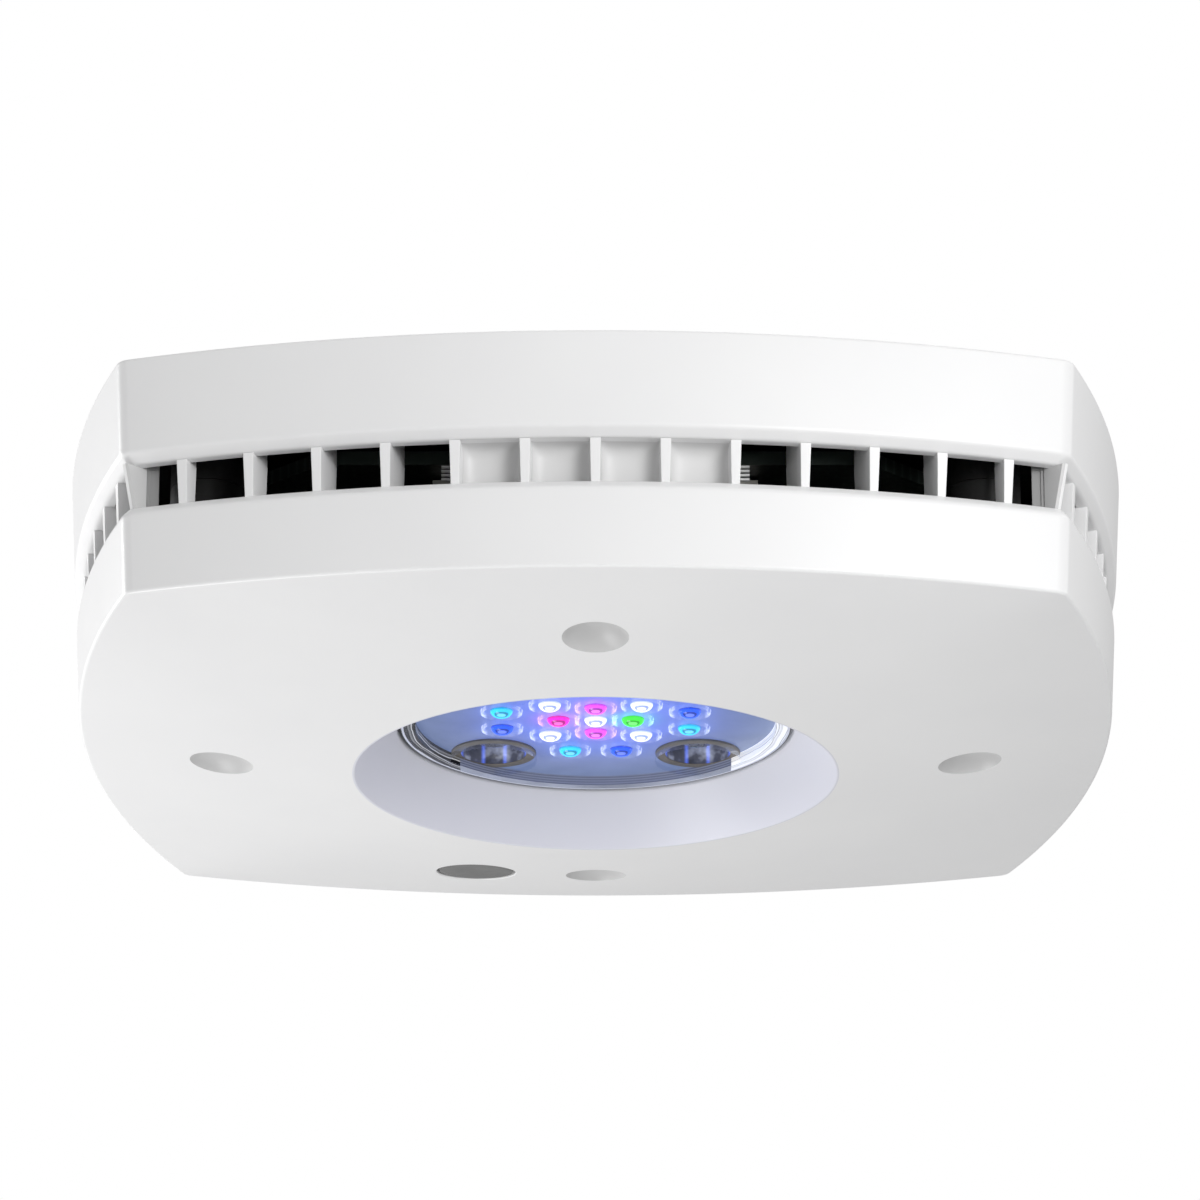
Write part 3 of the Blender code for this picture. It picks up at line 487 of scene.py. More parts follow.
def make_ridge_painted_highlight(tint):
    """Ring round an optic that glows in painted highlight arcs at its left and right."""
    graph = Graph("ridge_" + "_".join(f"{round(100 * c)}" for c in tint), 0.1)
    across = graph.math("MULTIPLY", graph.math("ABSOLUTE", graph.split()["X"]), 1 / RIDGE_R)
    highlight_arcs = graph.greys(across, [(0.0, 0.06), (0.74, 0.08), (0.88, 0.6), (1.0, 0.8)])
    broken = graph.spread(graph.noise(1400.0, 1.0), 0.0, 1.2)
    graph.colour(graph.ramp(graph.noise(700.0), [(0.3, [0.7 * c for c in tint]), (0.7, tint)]))
    graph.glow((*tint, 1.0), 0.85)
    graph.links.new(graph.math("MULTIPLY", highlight_arcs, broken), graph.shader.inputs["Alpha"])
    return graph.material


def make_glass():
    """Clear moulding: see-through, with gloss that grows towards grazing angles."""
    graph = Graph("clear_glass", 0.03)
    tree_out = graph.nodes["Material Output"]
    clear = graph.nodes.new("ShaderNodeBsdfTransparent")
    gloss = graph.nodes.new("ShaderNodeBsdfGlossy")
    weight = graph.nodes.new("ShaderNodeLayerWeight")
    mix = graph.nodes.new("ShaderNodeMixShader")
    clear.inputs["Color"].default_value = (0.93, 0.95, 1.0, 1.0)
    gloss.inputs["Roughness"].default_value = 0.04
    weight.inputs["Blend"].default_value = 0.3
    ripple = graph.spread(graph.noise(160.0), 0.9, 1.1)
    share = graph.math("MULTIPLY", graph.math("MULTIPLY", weight.outputs["Fresnel"], 0.3), ripple)
    graph.links.new(graph.math("ADD", share, GLASS_HAZE), mix.inputs["Fac"])
    graph.links.new(clear.outputs[0], mix.inputs[1])
    graph.links.new(gloss.outputs[0], mix.inputs[2])
    graph.links.new(mix.outputs[0], tree_out.inputs["Surface"])
    graph.nodes.remove(graph.shader)
    return graph.material


# Mesh helpers

def inside(x, y, polygon):
    """Whether a place lies within a polygon."""
    hit = False
    previous = polygon[-1]
    for current in polygon:
        if (current[1] > y) != (previous[1] > y):
            cross = (previous[0] - current[0]) * (y - current[1]) / (previous[1] - current[1]) + current[0]
            hit ^= x < cross
        previous = current
    return hit


def polar(radius, angle):
    return radius * math.cos(angle), radius * math.sin(angle)


def ring(bm, points):
    return [bm.verts.new(point) for point in points]


def bridge(bm, low, high, slot=0):
    count = len(low)
    for i in range(count):
        j = (i + 1) % count
        face = bm.faces.new((low[i], low[j], high[j], high[i]))
        face.material_index = slot


def skin(bm, loops, slot=0, closed=False):
    """Join loops of points, or rings already made, into a skin; returns the rings."""
    rows = [loop if isinstance(loop[0], bmesh.types.BMVert) else ring(bm, loop) for loop in loops]
    for low, high in zip(rows, rows[1:]):
        bridge(bm, low, high, slot)
    if closed:
        bridge(bm, rows[-1], rows[0], slot)
    return rows


def solid(bm, loops, slot=0):
    rows = skin(bm, loops, slot)
    for cap in (rows[0], rows[-1]):
        bm.faces.new(cap).material_index = slot
    return rows


def sheet(bm, rims, height, points, slot=0):
    """Triangulated sheet between an outer ring and the rings of its holes."""
    known = [vert for rim in rims for vert in rim]
    flat = [Vector((v.co.x, v.co.y)) / MM for v in known] + [Vector(p) / MM for p in points]
    edges, first = [], 0
    for rim in rims:
        count = len(rim)
        edges += [(first + i, first + (i + 1) % count) for i in range(count)]
        first += count
    out, _, faces, sources, _, _ = delaunay_2d_cdt(flat, edges, [], 0, 1e-5)
    made = []
    for point, source in zip(out, sources):
        same = [k for k in source if k < len(known)]
        x, y = point.x * MM, point.y * MM
        made.append(known[same[0]] if same else bm.verts.new((x, y, height(x, y))))
    holes = [[(v.co.x, v.co.y) for v in rim] for rim in rims[1:]]
    for face in faces:
        corners = [made[k] for k in face]
        x = sum(v.co.x for v in corners) / 3
        y = sum(v.co.y for v in corners) / 3
        if not any(inside(x, y, hole) for hole in holes):
            bm.faces.new(corners).material_index = slot


def circle(radius, z, centre=(0.0, 0.0), steps=48):
    points = []
    for i in range(steps):
        angle = 2 * math.pi * i / steps
        points.append(Vector((centre[0] + radius * math.cos(angle), centre[1] + radius * math.sin(angle), z)))
    return points


def turned(bm, profile, centre=(0.0, 0.0), steps=48, closed=False, slot=0):
    loops = [circle(radius, z, centre, steps) for radius, z in profile]
    return skin(bm, loops, slot, True) if closed else solid(bm, loops, slot)


def eased(corners, radius):
    """Round the inner corners of an open profile of pairs."""
    result = [Vector(corners[0])]
    for before, corner, after in zip(corners, corners[1:], corners[2:]):
        corner = Vector(corner)
        back = Vector(before) - corner
        ahead = Vector(after) - corner
        reach = min(radius, back.length / 2, ahead.length / 2)
        start = corner + back.normalized() * reach
        end = corner + ahead.normalized() * reach
        for i in range(EASE_STEPS + 1):
            t = i / EASE_STEPS
            result.append(start * (1 - t) ** 2 + corner * 2 * t * (1 - t) + end * t ** 2)
    result.append(Vector(corners[-1]))
    return result


def box_mesh(bm, low, high):
    plan = [(low[0], low[1]), (high[0], low[1]), (high[0], high[1]), (low[0], high[1])]
    return solid(bm, [[Vector((x, y, z)) for x, y in plan] for z in (low[2], high[2])])


def bevel_all(bm, width):
    sharp = [e for e in bm.edges if len(e.link_faces) == 2 and e.calc_face_angle(0.0) > math.radians(30)]
    bmesh.ops.bevel(bm, geom=sharp, offset=width, segments=2, profile=0.5, affect="EDGES")


def linked(name, bm):
    """New object in the scene from a bmesh."""
    mesh = bpy.data.meshes.new(name)
    bm.to_mesh(mesh)
    bm.free()
    made = bpy.data.objects.new(name, mesh)
    bpy.context.scene.collection.objects.link(made)
    return made


def finish_piece(name, bm, materials, body="housing", node=None,
                 sharp=35, shift=None, weigh=False):
    """Object from a bmesh that rides on its body and stands for its node."""
    bmesh.ops.recalc_face_normals(bm, faces=bm.faces[:])
    if shift is not None:
        bmesh.ops.translate(bm, vec=-shift, verts=bm.verts[:])
    piece = linked(name, bm)
    if shift is not None:
        piece.location = shift
    for material in materials:
        piece.data.materials.append(material)
    piece.data.shade_smooth()
    piece.data.set_sharp_from_angle(angle=math.radians(sharp))
    if weigh:
        normals = piece.modifiers.new("weighted_normals", "WEIGHTED_NORMAL")
        normals.keep_sharp = True
    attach(piece, body)
    if node:
        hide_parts(node)
    return piece


def quarters(bm, make_side):
    """Add one side's shapes to a bmesh, repeated on all four sides."""
    for quarter in range(4):
        side = bmesh.new()
        make_side(side)
        turn = Matrix.Rotation(quarter * math.pi / 2, 4, "Z")
        bmesh.ops.transform(side, matrix=turn, verts=side.verts[:])
        add_to(bm, side)


def four_places(reach):
    return [(sx * reach, sy * reach) for sy in (-1, 1) for sx in (-1, 1)]


# Housing outline and dome

def side_arc(z, inset=0.0):
    """Centre and radius of a side's plan arc at one height."""
    scale = 1.0 - DRAFT * (WALL_TOP - z) / (WALL_TOP - WALL_BOTTOM) / HALF_WIDTH
    return (HALF_WIDTH - SIDE_RADIUS) * scale, SIDE_RADIUS * scale - inset


def outline(z, inset=0.0):
    """Plan outline of the housing at one height: four arcs and four round corners."""
    offset, radius = side_arc(z, inset)
    fillet = max(CORNER_RADIUS - inset, 0.3 * MM)
    reach = radius - fillet
    centre = (offset + math.sqrt(2 * reach ** 2 - offset ** 2)) / 2
    edge = math.atan2(centre, centre - offset)
    side = []
    for i in range(SIDE_STEPS + 1):
        angle = edge * (2 * i / SIDE_STEPS - 1)
        side.append(Vector((offset + radius * math.cos(angle), radius * math.sin(angle), z)))
    for i in range(1, CORNER_STEPS):
        angle = edge + (math.pi / 2 - 2 * edge) * i / CORNER_STEPS
        side.append(Vector((centre + fillet * math.cos(angle), centre + fillet * math.sin(angle), z)))
    points = []
    for quarter in range(4):
        turn = Matrix.Rotation(quarter * math.pi / 2, 3, "Z")
        points.extend(turn @ point for point in side)
    return points


def side_reach(angle):
    offset, radius = side_arc(WALL_BOTTOM)
    return offset * math.cos(angle) + math.sqrt(radius ** 2 - (offset * math.sin(angle)) ** 2)


def foot_reach(angle, ease):
    """Distance to the foot of the wall in a direction, with the corner eased off."""
    folded = angle % (math.pi / 2)
    near, far = sorted((side_reach(folded), side_reach(folded - math.pi / 2)))
    return near - ease * math.log(1 + math.exp((near - far) / ease))


def dome_z(x, y):
    """Height of the underside."""
    angle, distance = math.atan2(y, x), math.hypot(x, y)
    rough_share = (distance - MOUTH_R) / (foot_reach(angle, 0.1 * MM) - MOUTH_R)
    ease = DIAGONAL_EASE * max(0.0, 1 - rough_share) + 0.1 * MM
    share = (distance - MOUTH_R) / (foot_reach(angle, ease) - MOUTH_R)
    mouth = MOUTH_R / (HALF_WIDTH - DRAFT)
    reach = mouth + (1 - mouth) * max(0.0, share)
    return WALL_BOTTOM * (reach ** 2 - mouth ** 2) / (1 - mouth ** 2)


def dome_grid(r_in, r_out_inset, keep_clear):
    """Points between the well and the wall, clear of the holes."""
    points, directions, rings_ = [], 144, 18
    for k in range(1, rings_):
        share = k / rings_
        for i in range(directions):
            angle = 2 * math.pi * (i + 0.5 * (k % 2)) / directions
            radius = r_in + (foot_reach(angle, MM) - r_out_inset - r_in) * share
            points.append(polar(radius, angle))
    clear = []
    for x, y in points:
        if all(math.hypot(x - cx, y - cy) > r + 1.6 * MM for cx, cy, r in keep_clear):
            clear.append((x, y))
    for cx, cy, r in keep_clear:
        for extra in (0.4 * MM, 1.0 * MM):
            clear += [(p.x, p.y) for p in circle(r + extra, 0.0, (cx, cy), 40)]
    return clear


def on_dome(points, lift=0.0):
    """Points moved in height onto the underside."""
    return [Vector((p.x, p.y, dome_z(p.x, p.y) + lift)) for p in points]


# Lower shell

def profile_loops(profile):
    return [outline(z, inset) for inset, z in profile]


def make_dimple(bm, x, y):
    """Smooth round dimple with a crisp rim, painted darker as shade; returns the rim ring."""
    rim = ring(bm, on_dome(circle(DIMPLE_R, 0.0, (x, y))))
    rows = [rim]
    ball_r = (DIMPLE_R ** 2 + DIMPLE_DEPTH ** 2) / (2 * DIMPLE_DEPTH)
    for k in range(1, 10):
        radius = DIMPLE_R * math.cos(math.radians(90 * k / 10))
        sink = math.sqrt(ball_r ** 2 - radius ** 2) - (ball_r - DIMPLE_DEPTH)
        points = circle(radius, 0.0, (x, y))
        rows.append([Vector((p.x, p.y, dome_z(p.x, p.y) + sink)) for p in points])
    rows = skin(bm, rows, 3)
    bm.faces.new(rows[-1]).material_index = 3
    return rim


def make_rib(bm, index, rows=None):
    """Upright rib from the vent face back to its leaning rear edge, wider towards the top."""
    rib = bmesh.new()
    angle = index * RIB_PITCH
    along = Vector((math.cos(angle), math.sin(angle), 0.0))
    across = Vector((-math.sin(angle), math.cos(angle), 0.0))
    loops = []
    for z, inset, half in rows or LOWER_RIB:
        offset, radius = side_arc(z, inset)
        start = Vector((offset, 0.0, z))
        inner = RIB_BACK - RIB_BACK_LEAN * (z - RIB_BACK_Z)
        reach = min((inner - offset) / math.cos(angle), radius - RIB_LEAST_DEPTH)
        front = start + along * radius
        back = start + along * reach
        side = across * half
        rear = side + across * RIB_DRAFT * (radius - reach)
        loops.append([front - side, front + side, back + rear, back - rear])
    solid(rib, loops)
    upright = [e for e in rib.edges if abs(e.verts[0].co.z - e.verts[1].co.z) > MM]
    bmesh.ops.bevel(rib, geom=upright, offset=0.08 * MM, segments=2, profile=0.5, affect="EDGES")
    add_to(bm, rib)


def add_to(bm, part):
    """Add a bmesh to another and free it."""
    holder = bpy.data.meshes.new("part")
    part.to_mesh(holder)
    part.free()
    bm.from_mesh(holder)
    bpy.data.meshes.remove(holder)


def pocket_depth(across, up):
    """Depth of a blind vent: flat-backed with round sides, and curving forward at its top."""
    plan = (1 - min(1.0, abs(across)) ** 4.5) ** (1 / 4.5)
    rise = (1 - min(1.0, up) ** 5) ** (1 / 5)
    return POCKET_DEPTH * plan * rise


def pocket_columns():
    """Angle along the side, and place across its pocket, of each column of points."""
    columns = []
    rib_angle = RIB_HALF / SIDE_RADIUS
    for index in range(-BLIND_RIBS, BLIND_RIBS):
        left, right = index * RIB_PITCH + rib_angle, (index + 1) * RIB_PITCH - rib_angle
        steps = 26
        for i in range(steps + 1):
            across = -math.cos(math.pi * i / steps)
            columns.append(((left + right) / 2 + (right - left) / 2 * across, across))
    return columns


def blind_vents(bm):
    """Block behind the four middle vents of a side, with a scooped pocket in each; the scoops are painted a
    little darker as shade and the block's back is painted black as shade.
    """
    columns, steps = pocket_columns(), 16
    front = []
    for angle, across in columns:
        column = []
        for k in range(steps + 1):
            up = math.sin(math.pi / 2 * k / steps)
            z = POCKET_FOOT_Z + (RIB_HEAD_Z - POCKET_FOOT_Z) * up
            offset, radius = side_arc(z, VENT_CHAMFER)
            radius -= pocket_depth(across, up) + 0.02 * MM
            column.append(bm.verts.new((offset + radius * math.cos(angle), radius * math.sin(angle), z)))
        front.append(column)
    back = []
    for angle, _ in columns:
        pair = []
        for z in (POCKET_FOOT_Z, RIB_HEAD_Z):
            offset, radius = side_arc(z, VENT_CHAMFER + BLIND_DEPTH)
            pair.append(bm.verts.new((offset + radius * math.cos(angle), radius * math.sin(angle), z)))
        back.append(pair)
    for i in range(len(columns) - 1):
        for k in range(steps):
            scoop = bm.faces.new((front[i][k], front[i + 1][k], front[i + 1][k + 1], front[i][k + 1]))
            scoop.material_index = 4
        bm.faces.new((back[i][0], back[i][1], back[i + 1][1], back[i + 1][0])).material_index = 1
        bm.faces.new((front[i][0], back[i][0], back[i + 1][0], front[i + 1][0]))
        bm.faces.new((front[i][-1], front[i + 1][-1], back[i + 1][1], back[i][1]))
    for column, pair in ((front[0], back[0]), (front[-1], back[-1])):
        bm.faces.new(column + [pair[1], pair[0]])


def diagonal_rib(bm, rows, slot=0):
    """Rib on the diagonal between the tips and rears given at each height; its tip edge always keeps the
    white plastic, and its other faces take the given slot, which the callers set to plastic painted darker as
    shade.
    """
    rib = bmesh.new()
    half = RIB_HALF / math.sqrt(2)
    thin = 0.15 * MM
    loops = []
    for z, tip, back in rows:
        plan = [(tip + thin, tip - thin), (tip - thin, tip + thin), (tip - 1.5 * half, tip + 0.5 * half)]
        plan += [(back - half, back + half), (back + half, back - half), (tip + 0.5 * half, tip - 1.5 * half)]
        loops.append([Vector((x, y, z)) for x, y in plan])
    made = solid(rib, loops, slot)
    for face in rib.faces:
        if made[0][0] in face.verts and made[0][1] in face.verts and made[1][0] in face.verts:
            face.material_index = 0
    add_to(bm, rib)


def corner_tip():
    return outline(HEADER_Z, 0.1 * MM)[SIDE_STEPS + CORNER_STEPS // 2].x


def slim_fins(bm, low_z, high_z, slot=0):
    """Upright fin on either side of the corner rib, in the slot given, which the callers set to plastic
    painted dark grey as shade.
    """
    for turned_over in (False, True):
        low, high = (FIN_NEAR, FIN_BACK), (FIN_FAR, FIN_BACK + FIN_THICK)
        if turned_over:
            low, high = low[::-1], high[::-1]
        fin = bmesh.new()
        box_mesh(fin, (*low, low_z), (*high, high_z))
        bevel_all(fin, 0.12 * MM)
        for face in fin.faces:
            face.material_index = slot
        add_to(bm, fin)


def corner_rib(bm):
    """Corner rib whose thin front edge runs back towards the sill, its sides painted darker as shade, with a
    slim fin beside it painted darker still as shade.
    """
    tip = corner_tip()
    back = tip - CORNER_RIB_REACH
    low_z, high_z = RIB_FOOT_Z, RIB_HEAD_Z
    diagonal_rib(bm, [(low_z, tip - CORNER_RIB_LEAN, back), (high_z, tip, back)], 3)
    slim_fins(bm, low_z, high_z, 5)


def side_details(bm):
    """Ribs, blind vents and corner rib of one side."""
    for index in range(-RIB_COUNT, RIB_COUNT + 1):
        make_rib(bm, index)
    blind_vents(bm)
    corner_rib(bm)


def light_well(bm):
    """Cone and throat of the light well; returns its rings from the mouth up."""
    corners = [(MOUTH_R + MOUTH_EASE, 0.0), (MOUTH_R, 0.0), (THROAT_R, WELL_DEPTH), (THROAT_R, LAND_Z)]
    profile = eased(corners, MOUTH_EASE)
    loops = [on_dome(circle(MOUTH_R + MOUTH_EASE, 0.0, steps=MOUTH_STEPS))]
    loops += [circle(radius, z, steps=MOUTH_STEPS) for radius, z in profile[1:]]
    # The cone and throat take the well finish, painted darker as shade and tinted bluish.
    return skin(bm, loops, 2)


def button_ring(bm, radius, lift=0.0):
    return ring(bm, on_dome(circle(radius, 0.0, (BUTTON.x, BUTTON.y)), lift))


def underside(bm, rim, mouth):
    """Domed underside with its dimples; returns the ring of the button hole."""
    dimples = []
    for quarter in range(4):
        place = polar(DIMPLE_POSITION, quarter * math.pi / 2)
        dimples.append((*place, make_dimple(bm, *place)))
    hole = button_ring(bm, BUTTON_HOLE_R + HOLE_EASE)
    clear = [(x, y, DIMPLE_R) for x, y, _ in dimples] + [(BUTTON.x, BUTTON.y, BUTTON_HOLE_R)]
    rims = [rim, mouth] + [r for _, _, r in dimples] + [hole]
    sheet(bm, rims, dome_z, dome_grid(MOUTH_R + MOUTH_EASE, EDGE, clear))
    return hole


def inner_faces(bm, sill, land, hole):
    """Inner skin of the lower shell, from the sill to the lens land, painted black as shade."""
    rim = ring(bm, on_dome(outline(WALL_BOTTOM, WALL), FLOOR))
    mouth = ring(bm, on_dome(circle(WELL_BACK_R, 0.0, steps=MOUTH_STEPS), FLOOR))
    inner_hole = button_ring(bm, BUTTON_HOLE_R, FLOOR)
    skin(bm, [hole, button_ring(bm, BUTTON_HOLE_R, HOLE_EASE), inner_hole])
    points = dome_grid(WELL_BACK_R, WALL, [(BUTTON.x, BUTTON.y, BUTTON_HOLE_R)])
    sheet(bm, [rim, mouth, inner_hole], lambda x, y: dome_z(x, y) + FLOOR, points, 1)
    skin(bm, [land, circle(LAND_BACK_R, LAND_Z, steps=MOUTH_STEPS), mouth], 1)
    skin(bm, [rim, outline(INNER_SILL_Z, WALL), outline(INNER_SILL_Z, RAIL), sill], 1)


def make_bottom_cover(finishes):
    """Lower shell: wall, underside, light well, inner skin, ribs and screw posts; the inner skin and posts
    are painted black as shade.
    """
    bm = bmesh.new()
    corners = [(RAIL, SILL_Z), (VENT_CHAMFER, SILL_Z), (0.0, VENT_LOW), (0.0, WALL_BOTTOM)]
    corners.append((FOOT_REACH, WALL_BOTTOM - FOOT_DROP))
    loops = profile_loops(eased(corners, EDGE)[:-1])
    loops.insert(1, outline(SILL_Z, VENT_CHAMFER + 0.6 * MM))
    loops[-1] = on_dome(loops[-1])
    wall = skin(bm, loops)
    well = light_well(bm)
    hole = underside(bm, wall[-1], well[0])
    inner_faces(bm, wall[0], well[-1], hole)
    quarters(bm, side_details)
    for place in four_places(CASE_SCREW_XY):
        post = bmesh.new()
        turned(post, [(POST_R, POST_FOOT_Z), (POST_R, RIB_HEAD_Z)], place, 40, slot=1)
        add_to(bm, post)
    finish_piece("lower_shell", bm, finishes, node="bottom_cover", weigh=True)


# Upper shell

def slot_outline(ring_index, sector, grow):
    """One arc slot of the grille, with round ends."""
    half = SLOT_WIDTH / 2
    middle = GRILLE_IN_R + ring_index * SLOT_PITCH + half
    gap = (SPOKE_HALF + half) / middle
    start = sector * math.pi / 3 + gap
    end = (sector + 1) * math.pi / 3 - gap
    steps = 8
    points = []
    for first, last, radius, facing in ((start, end, middle + half + grow, end),
                                        (end, start, middle - half - grow, start + math.pi)):
        for i in range(steps + 1):
            angle = first + (last - first) * i / steps
            points.append(polar(radius, angle))
        points += round_end(middle, last, half + grow, facing)
    return points


def round_end(middle, angle, radius, facing):
    centre = polar(middle, angle)
    points = []
    for k in range(1, 6):
        turn = facing + math.pi * k / 6
        points.append((centre[0] + radius * math.cos(turn), centre[1] + radius * math.sin(turn)))
    return points


def roof_z(x, y):
    """Top surface: a very slight crown that falls away near the edge."""
    angle, distance = math.atan2(y, x), math.hypot(x, y)
    share = distance / (foot_reach(angle, MM) * HALF_WIDTH / (HALF_WIDTH - DRAFT))
    fall = max(0.0, (share - CROWN_START) / (1 - CROWN_START))
    return HEIGHT - CROWN_FALL * fall ** 1.5


def at(points, z):
    return [Vector((p[0], p[1], z)) for p in points]


def grille_slots(bm):
    """Arc slots through the roof, with eased upper edges; returns pairs of upper and lower rings."""
    pairs = []
    for ring_index in range(SLOT_RINGS):
        for sector in range(SLOT_SECTORS):
            loops = [at(slot_outline(ring_index, sector, grow), HEIGHT - drop) for grow, drop in SLOT_EDGE]
            loops.append(at(slot_outline(ring_index, sector, 0.0), ROOF_UNDER_Z))
            rows = skin(bm, loops)
            pairs.append((rows[0], rows[-1]))
    return pairs


def screw_holes(bm):
    """Stepped screw holes through the roof and their posts, painted black as shade; returns pairs of rings.
    """
    pairs = []
    foot_z = HEADER_Z + 0.1 * MM
    for place in four_places(CASE_SCREW_XY):
        z = roof_z(*place)
        bore = [(SCREW_HOLE_R + 0.2 * MM, z), (SCREW_HOLE_R, z - 0.2 * MM), (SCREW_HOLE_R, SCREW_SEAT_Z)]
        bore += [(SHANK_HOLE_R, SCREW_SEAT_Z), (SHANK_HOLE_R, foot_z)]
        rows = skin(bm, [circle(r, level, place, 40) for r, level in bore])
        post = [circle(POST_R, level, place, 40) for level in (foot_z, ROOF_UNDER_Z)]
        outside = skin(bm, [rows[-1]] + post, 1)
        pairs.append((rows[0], outside[-1]))
    return pairs


def insert_cups(bm):
    """Blind cups for the threaded inserts and the bosses under them, the bosses painted black as shade;
    returns pairs of rings.
    """
    pairs = []
    for centre in INSERTS:
        cup = [(INSERT_HOLE_R + INSERT_EASE, HEIGHT), (INSERT_HOLE_R, HEIGHT - INSERT_EASE)]
        cup.append((INSERT_HOLE_R, INSERT_FLOOR_Z))
        rows = skin(bm, [circle(r, z, centre, 40) for r, z in cup])
        bm.faces.new(rows[-1])
        boss = skin(bm, [circle(BOSS_R, z, centre, 40) for z in (ROOF_UNDER_Z, BOSS_END_Z)], 1)
        bm.faces.new(boss[-1]).material_index = 1
        pairs.append((rows[0], boss[0]))
    return pairs


def drill_inlet(cover):
    """Round hole for the power inlet in the rear wall."""
    jack = centre_of("dc_jack_pin")
    drill = bmesh.new()
    turned(drill, [(JACK_HOLE_R, reach) for reach in JACK_HOLE_Y])
    bmesh.ops.transform(drill, matrix=Matrix.Rotation(-math.pi / 2, 4, "X"), verts=drill.verts[:])
    bmesh.ops.translate(drill, vec=(jack.x, 0.0, jack.z), verts=drill.verts[:])
    cut(cover, drill)


def make_top_cover(white, shade_paint):
    """Upper shell: wall, roof with its openings, inner skin painted black as shade, and the inlet hole."""
    bm = bmesh.new()
    corners = [(WALL, HEADER_Z), (VENT_CHAMFER, HEADER_Z), (0.0, VENT_HIGH), (0.0, WALL_TOP + 0.3 * MM)]
    corners.append((ROOF_LIP, WALL_TOP + 0.42 * MM))
    rows = skin(bm, profile_loops(eased(corners, EDGE)[:-1]))
    for vert in rows[-1]:
        vert.co.z = roof_z(vert.co.x, vert.co.y)
    under = ring(bm, outline(ROOF_UNDER_Z, WALL))
    pairs = grille_slots(bm) + screw_holes(bm) + insert_cups(bm)
    clear = [(x, y, POST_R) for x, y in four_places(CASE_SCREW_XY)]
    clear += [(centre.x, centre.y, BOSS_R) for centre in INSERTS]
    points = roof_points(clear)
    sheet(bm, [rows[-1]] + [upper for upper, _ in pairs], roof_z, points)
    inner = [p for p in points if math.hypot(*p) < INNER_ROOF_R]
    sheet(bm, [under] + [lower for _, lower in pairs], lambda x, y: ROOF_UNDER_Z, inner, 1)
    skin(bm, [under, rows[0]], 1)
    cover = finish_piece("upper_shell", bm, [white, shade_paint], node="top_cover", weigh=True)
    drill_inlet(cover)


def upper_ribs(bm):
    """Upper length of each open rib, behind the header, with the corner rib and its fins painted darker as
    shade.
    """
    for index in range(-RIB_COUNT, RIB_COUNT + 1):
        if abs(index) >= BLIND_RIBS:
            make_rib(bm, index, UPPER_RIB)
    back = corner_tip() - CORNER_RIB_REACH
    low_z = UPPER_RIB[0][0]
    diagonal_rib(bm, [(z, back + 1.2 * MM, back) for z in (low_z, RIB_END_Z)], 1)
    slim_fins(bm, low_z, RIB_END_Z, 2)


def make_upper_ribs(white, shaded, fin):
    bm = bmesh.new()
    quarters(bm, upper_ribs)
    finish_piece("upper_vent_ribs", bm, [white, shaded, fin])


def roof_points(clear):
    """Points of the roof outside its grille, clear of the holes."""
    points = []
    for k in range(1, 22):
        share = k / 22
        count = max(12, int(6.3 * share * 30))
        for i in range(count):
            angle = 2 * math.pi * i / count
            radius = foot_reach(angle, MM) * share
            place = polar(radius, angle)
            if radius < 22.5 * MM:
                continue
            if all(math.hypot(place[0] - x, place[1] - y) > r + MM for x, y, r in clear):
                points.append(place)
    return points


def cut(piece, bm):
    """Cut a shape out of a piece and keep the result as its mesh."""
    bmesh.ops.recalc_face_normals(bm, faces=bm.faces[:])
    drill = linked("drill", bm)
    modifier = piece.modifiers.new("cut", "BOOLEAN")
    modifier.object = drill
    modifier.operation = "DIFFERENCE"
    kept = [m for m in piece.modifiers if m != modifier]
    for other in kept:
        other.show_viewport = False
    graph = bpy.context.evaluated_depsgraph_get()
    result = bpy.data.meshes.new_from_object(piece.evaluated_get(graph))
    piece.modifiers.remove(modifier)
    piece.data = result
    for other in kept:
        other.show_viewport = True
    bpy.data.objects.remove(drill)


# Lens and LEDs

def led_list():
    """Finish and place of each LED, from the frame's own nodes."""
    leds = []
    for number in range(17):
        node = f"led_{number:02d}"
        leds.append((SLOTS[node], centre_of(node)))
    return leds


def screw_places():
    return [centre_of(f"screw_collar_{number}") for number in range(1, 5)]


def lens_disc(bm, z):
    """Flat disc across the lens with the screw wells left open."""
    rim = ring(bm, circle(LENS_FACE_R, z, steps=LENS_STEPS))
    holes = [ring(bm, circle(COLLAR_R, z, place)) for place in screw_places()]
    sheet(bm, [rim] + holes, lambda x, y: z, [(0.0, 0.0)])


def lens_hoop(bm, low, high):
    """Band between two circles, each given by radius and height."""
    skin(bm, [circle(radius, z, steps=LENS_STEPS) for radius, z in (low, high)])


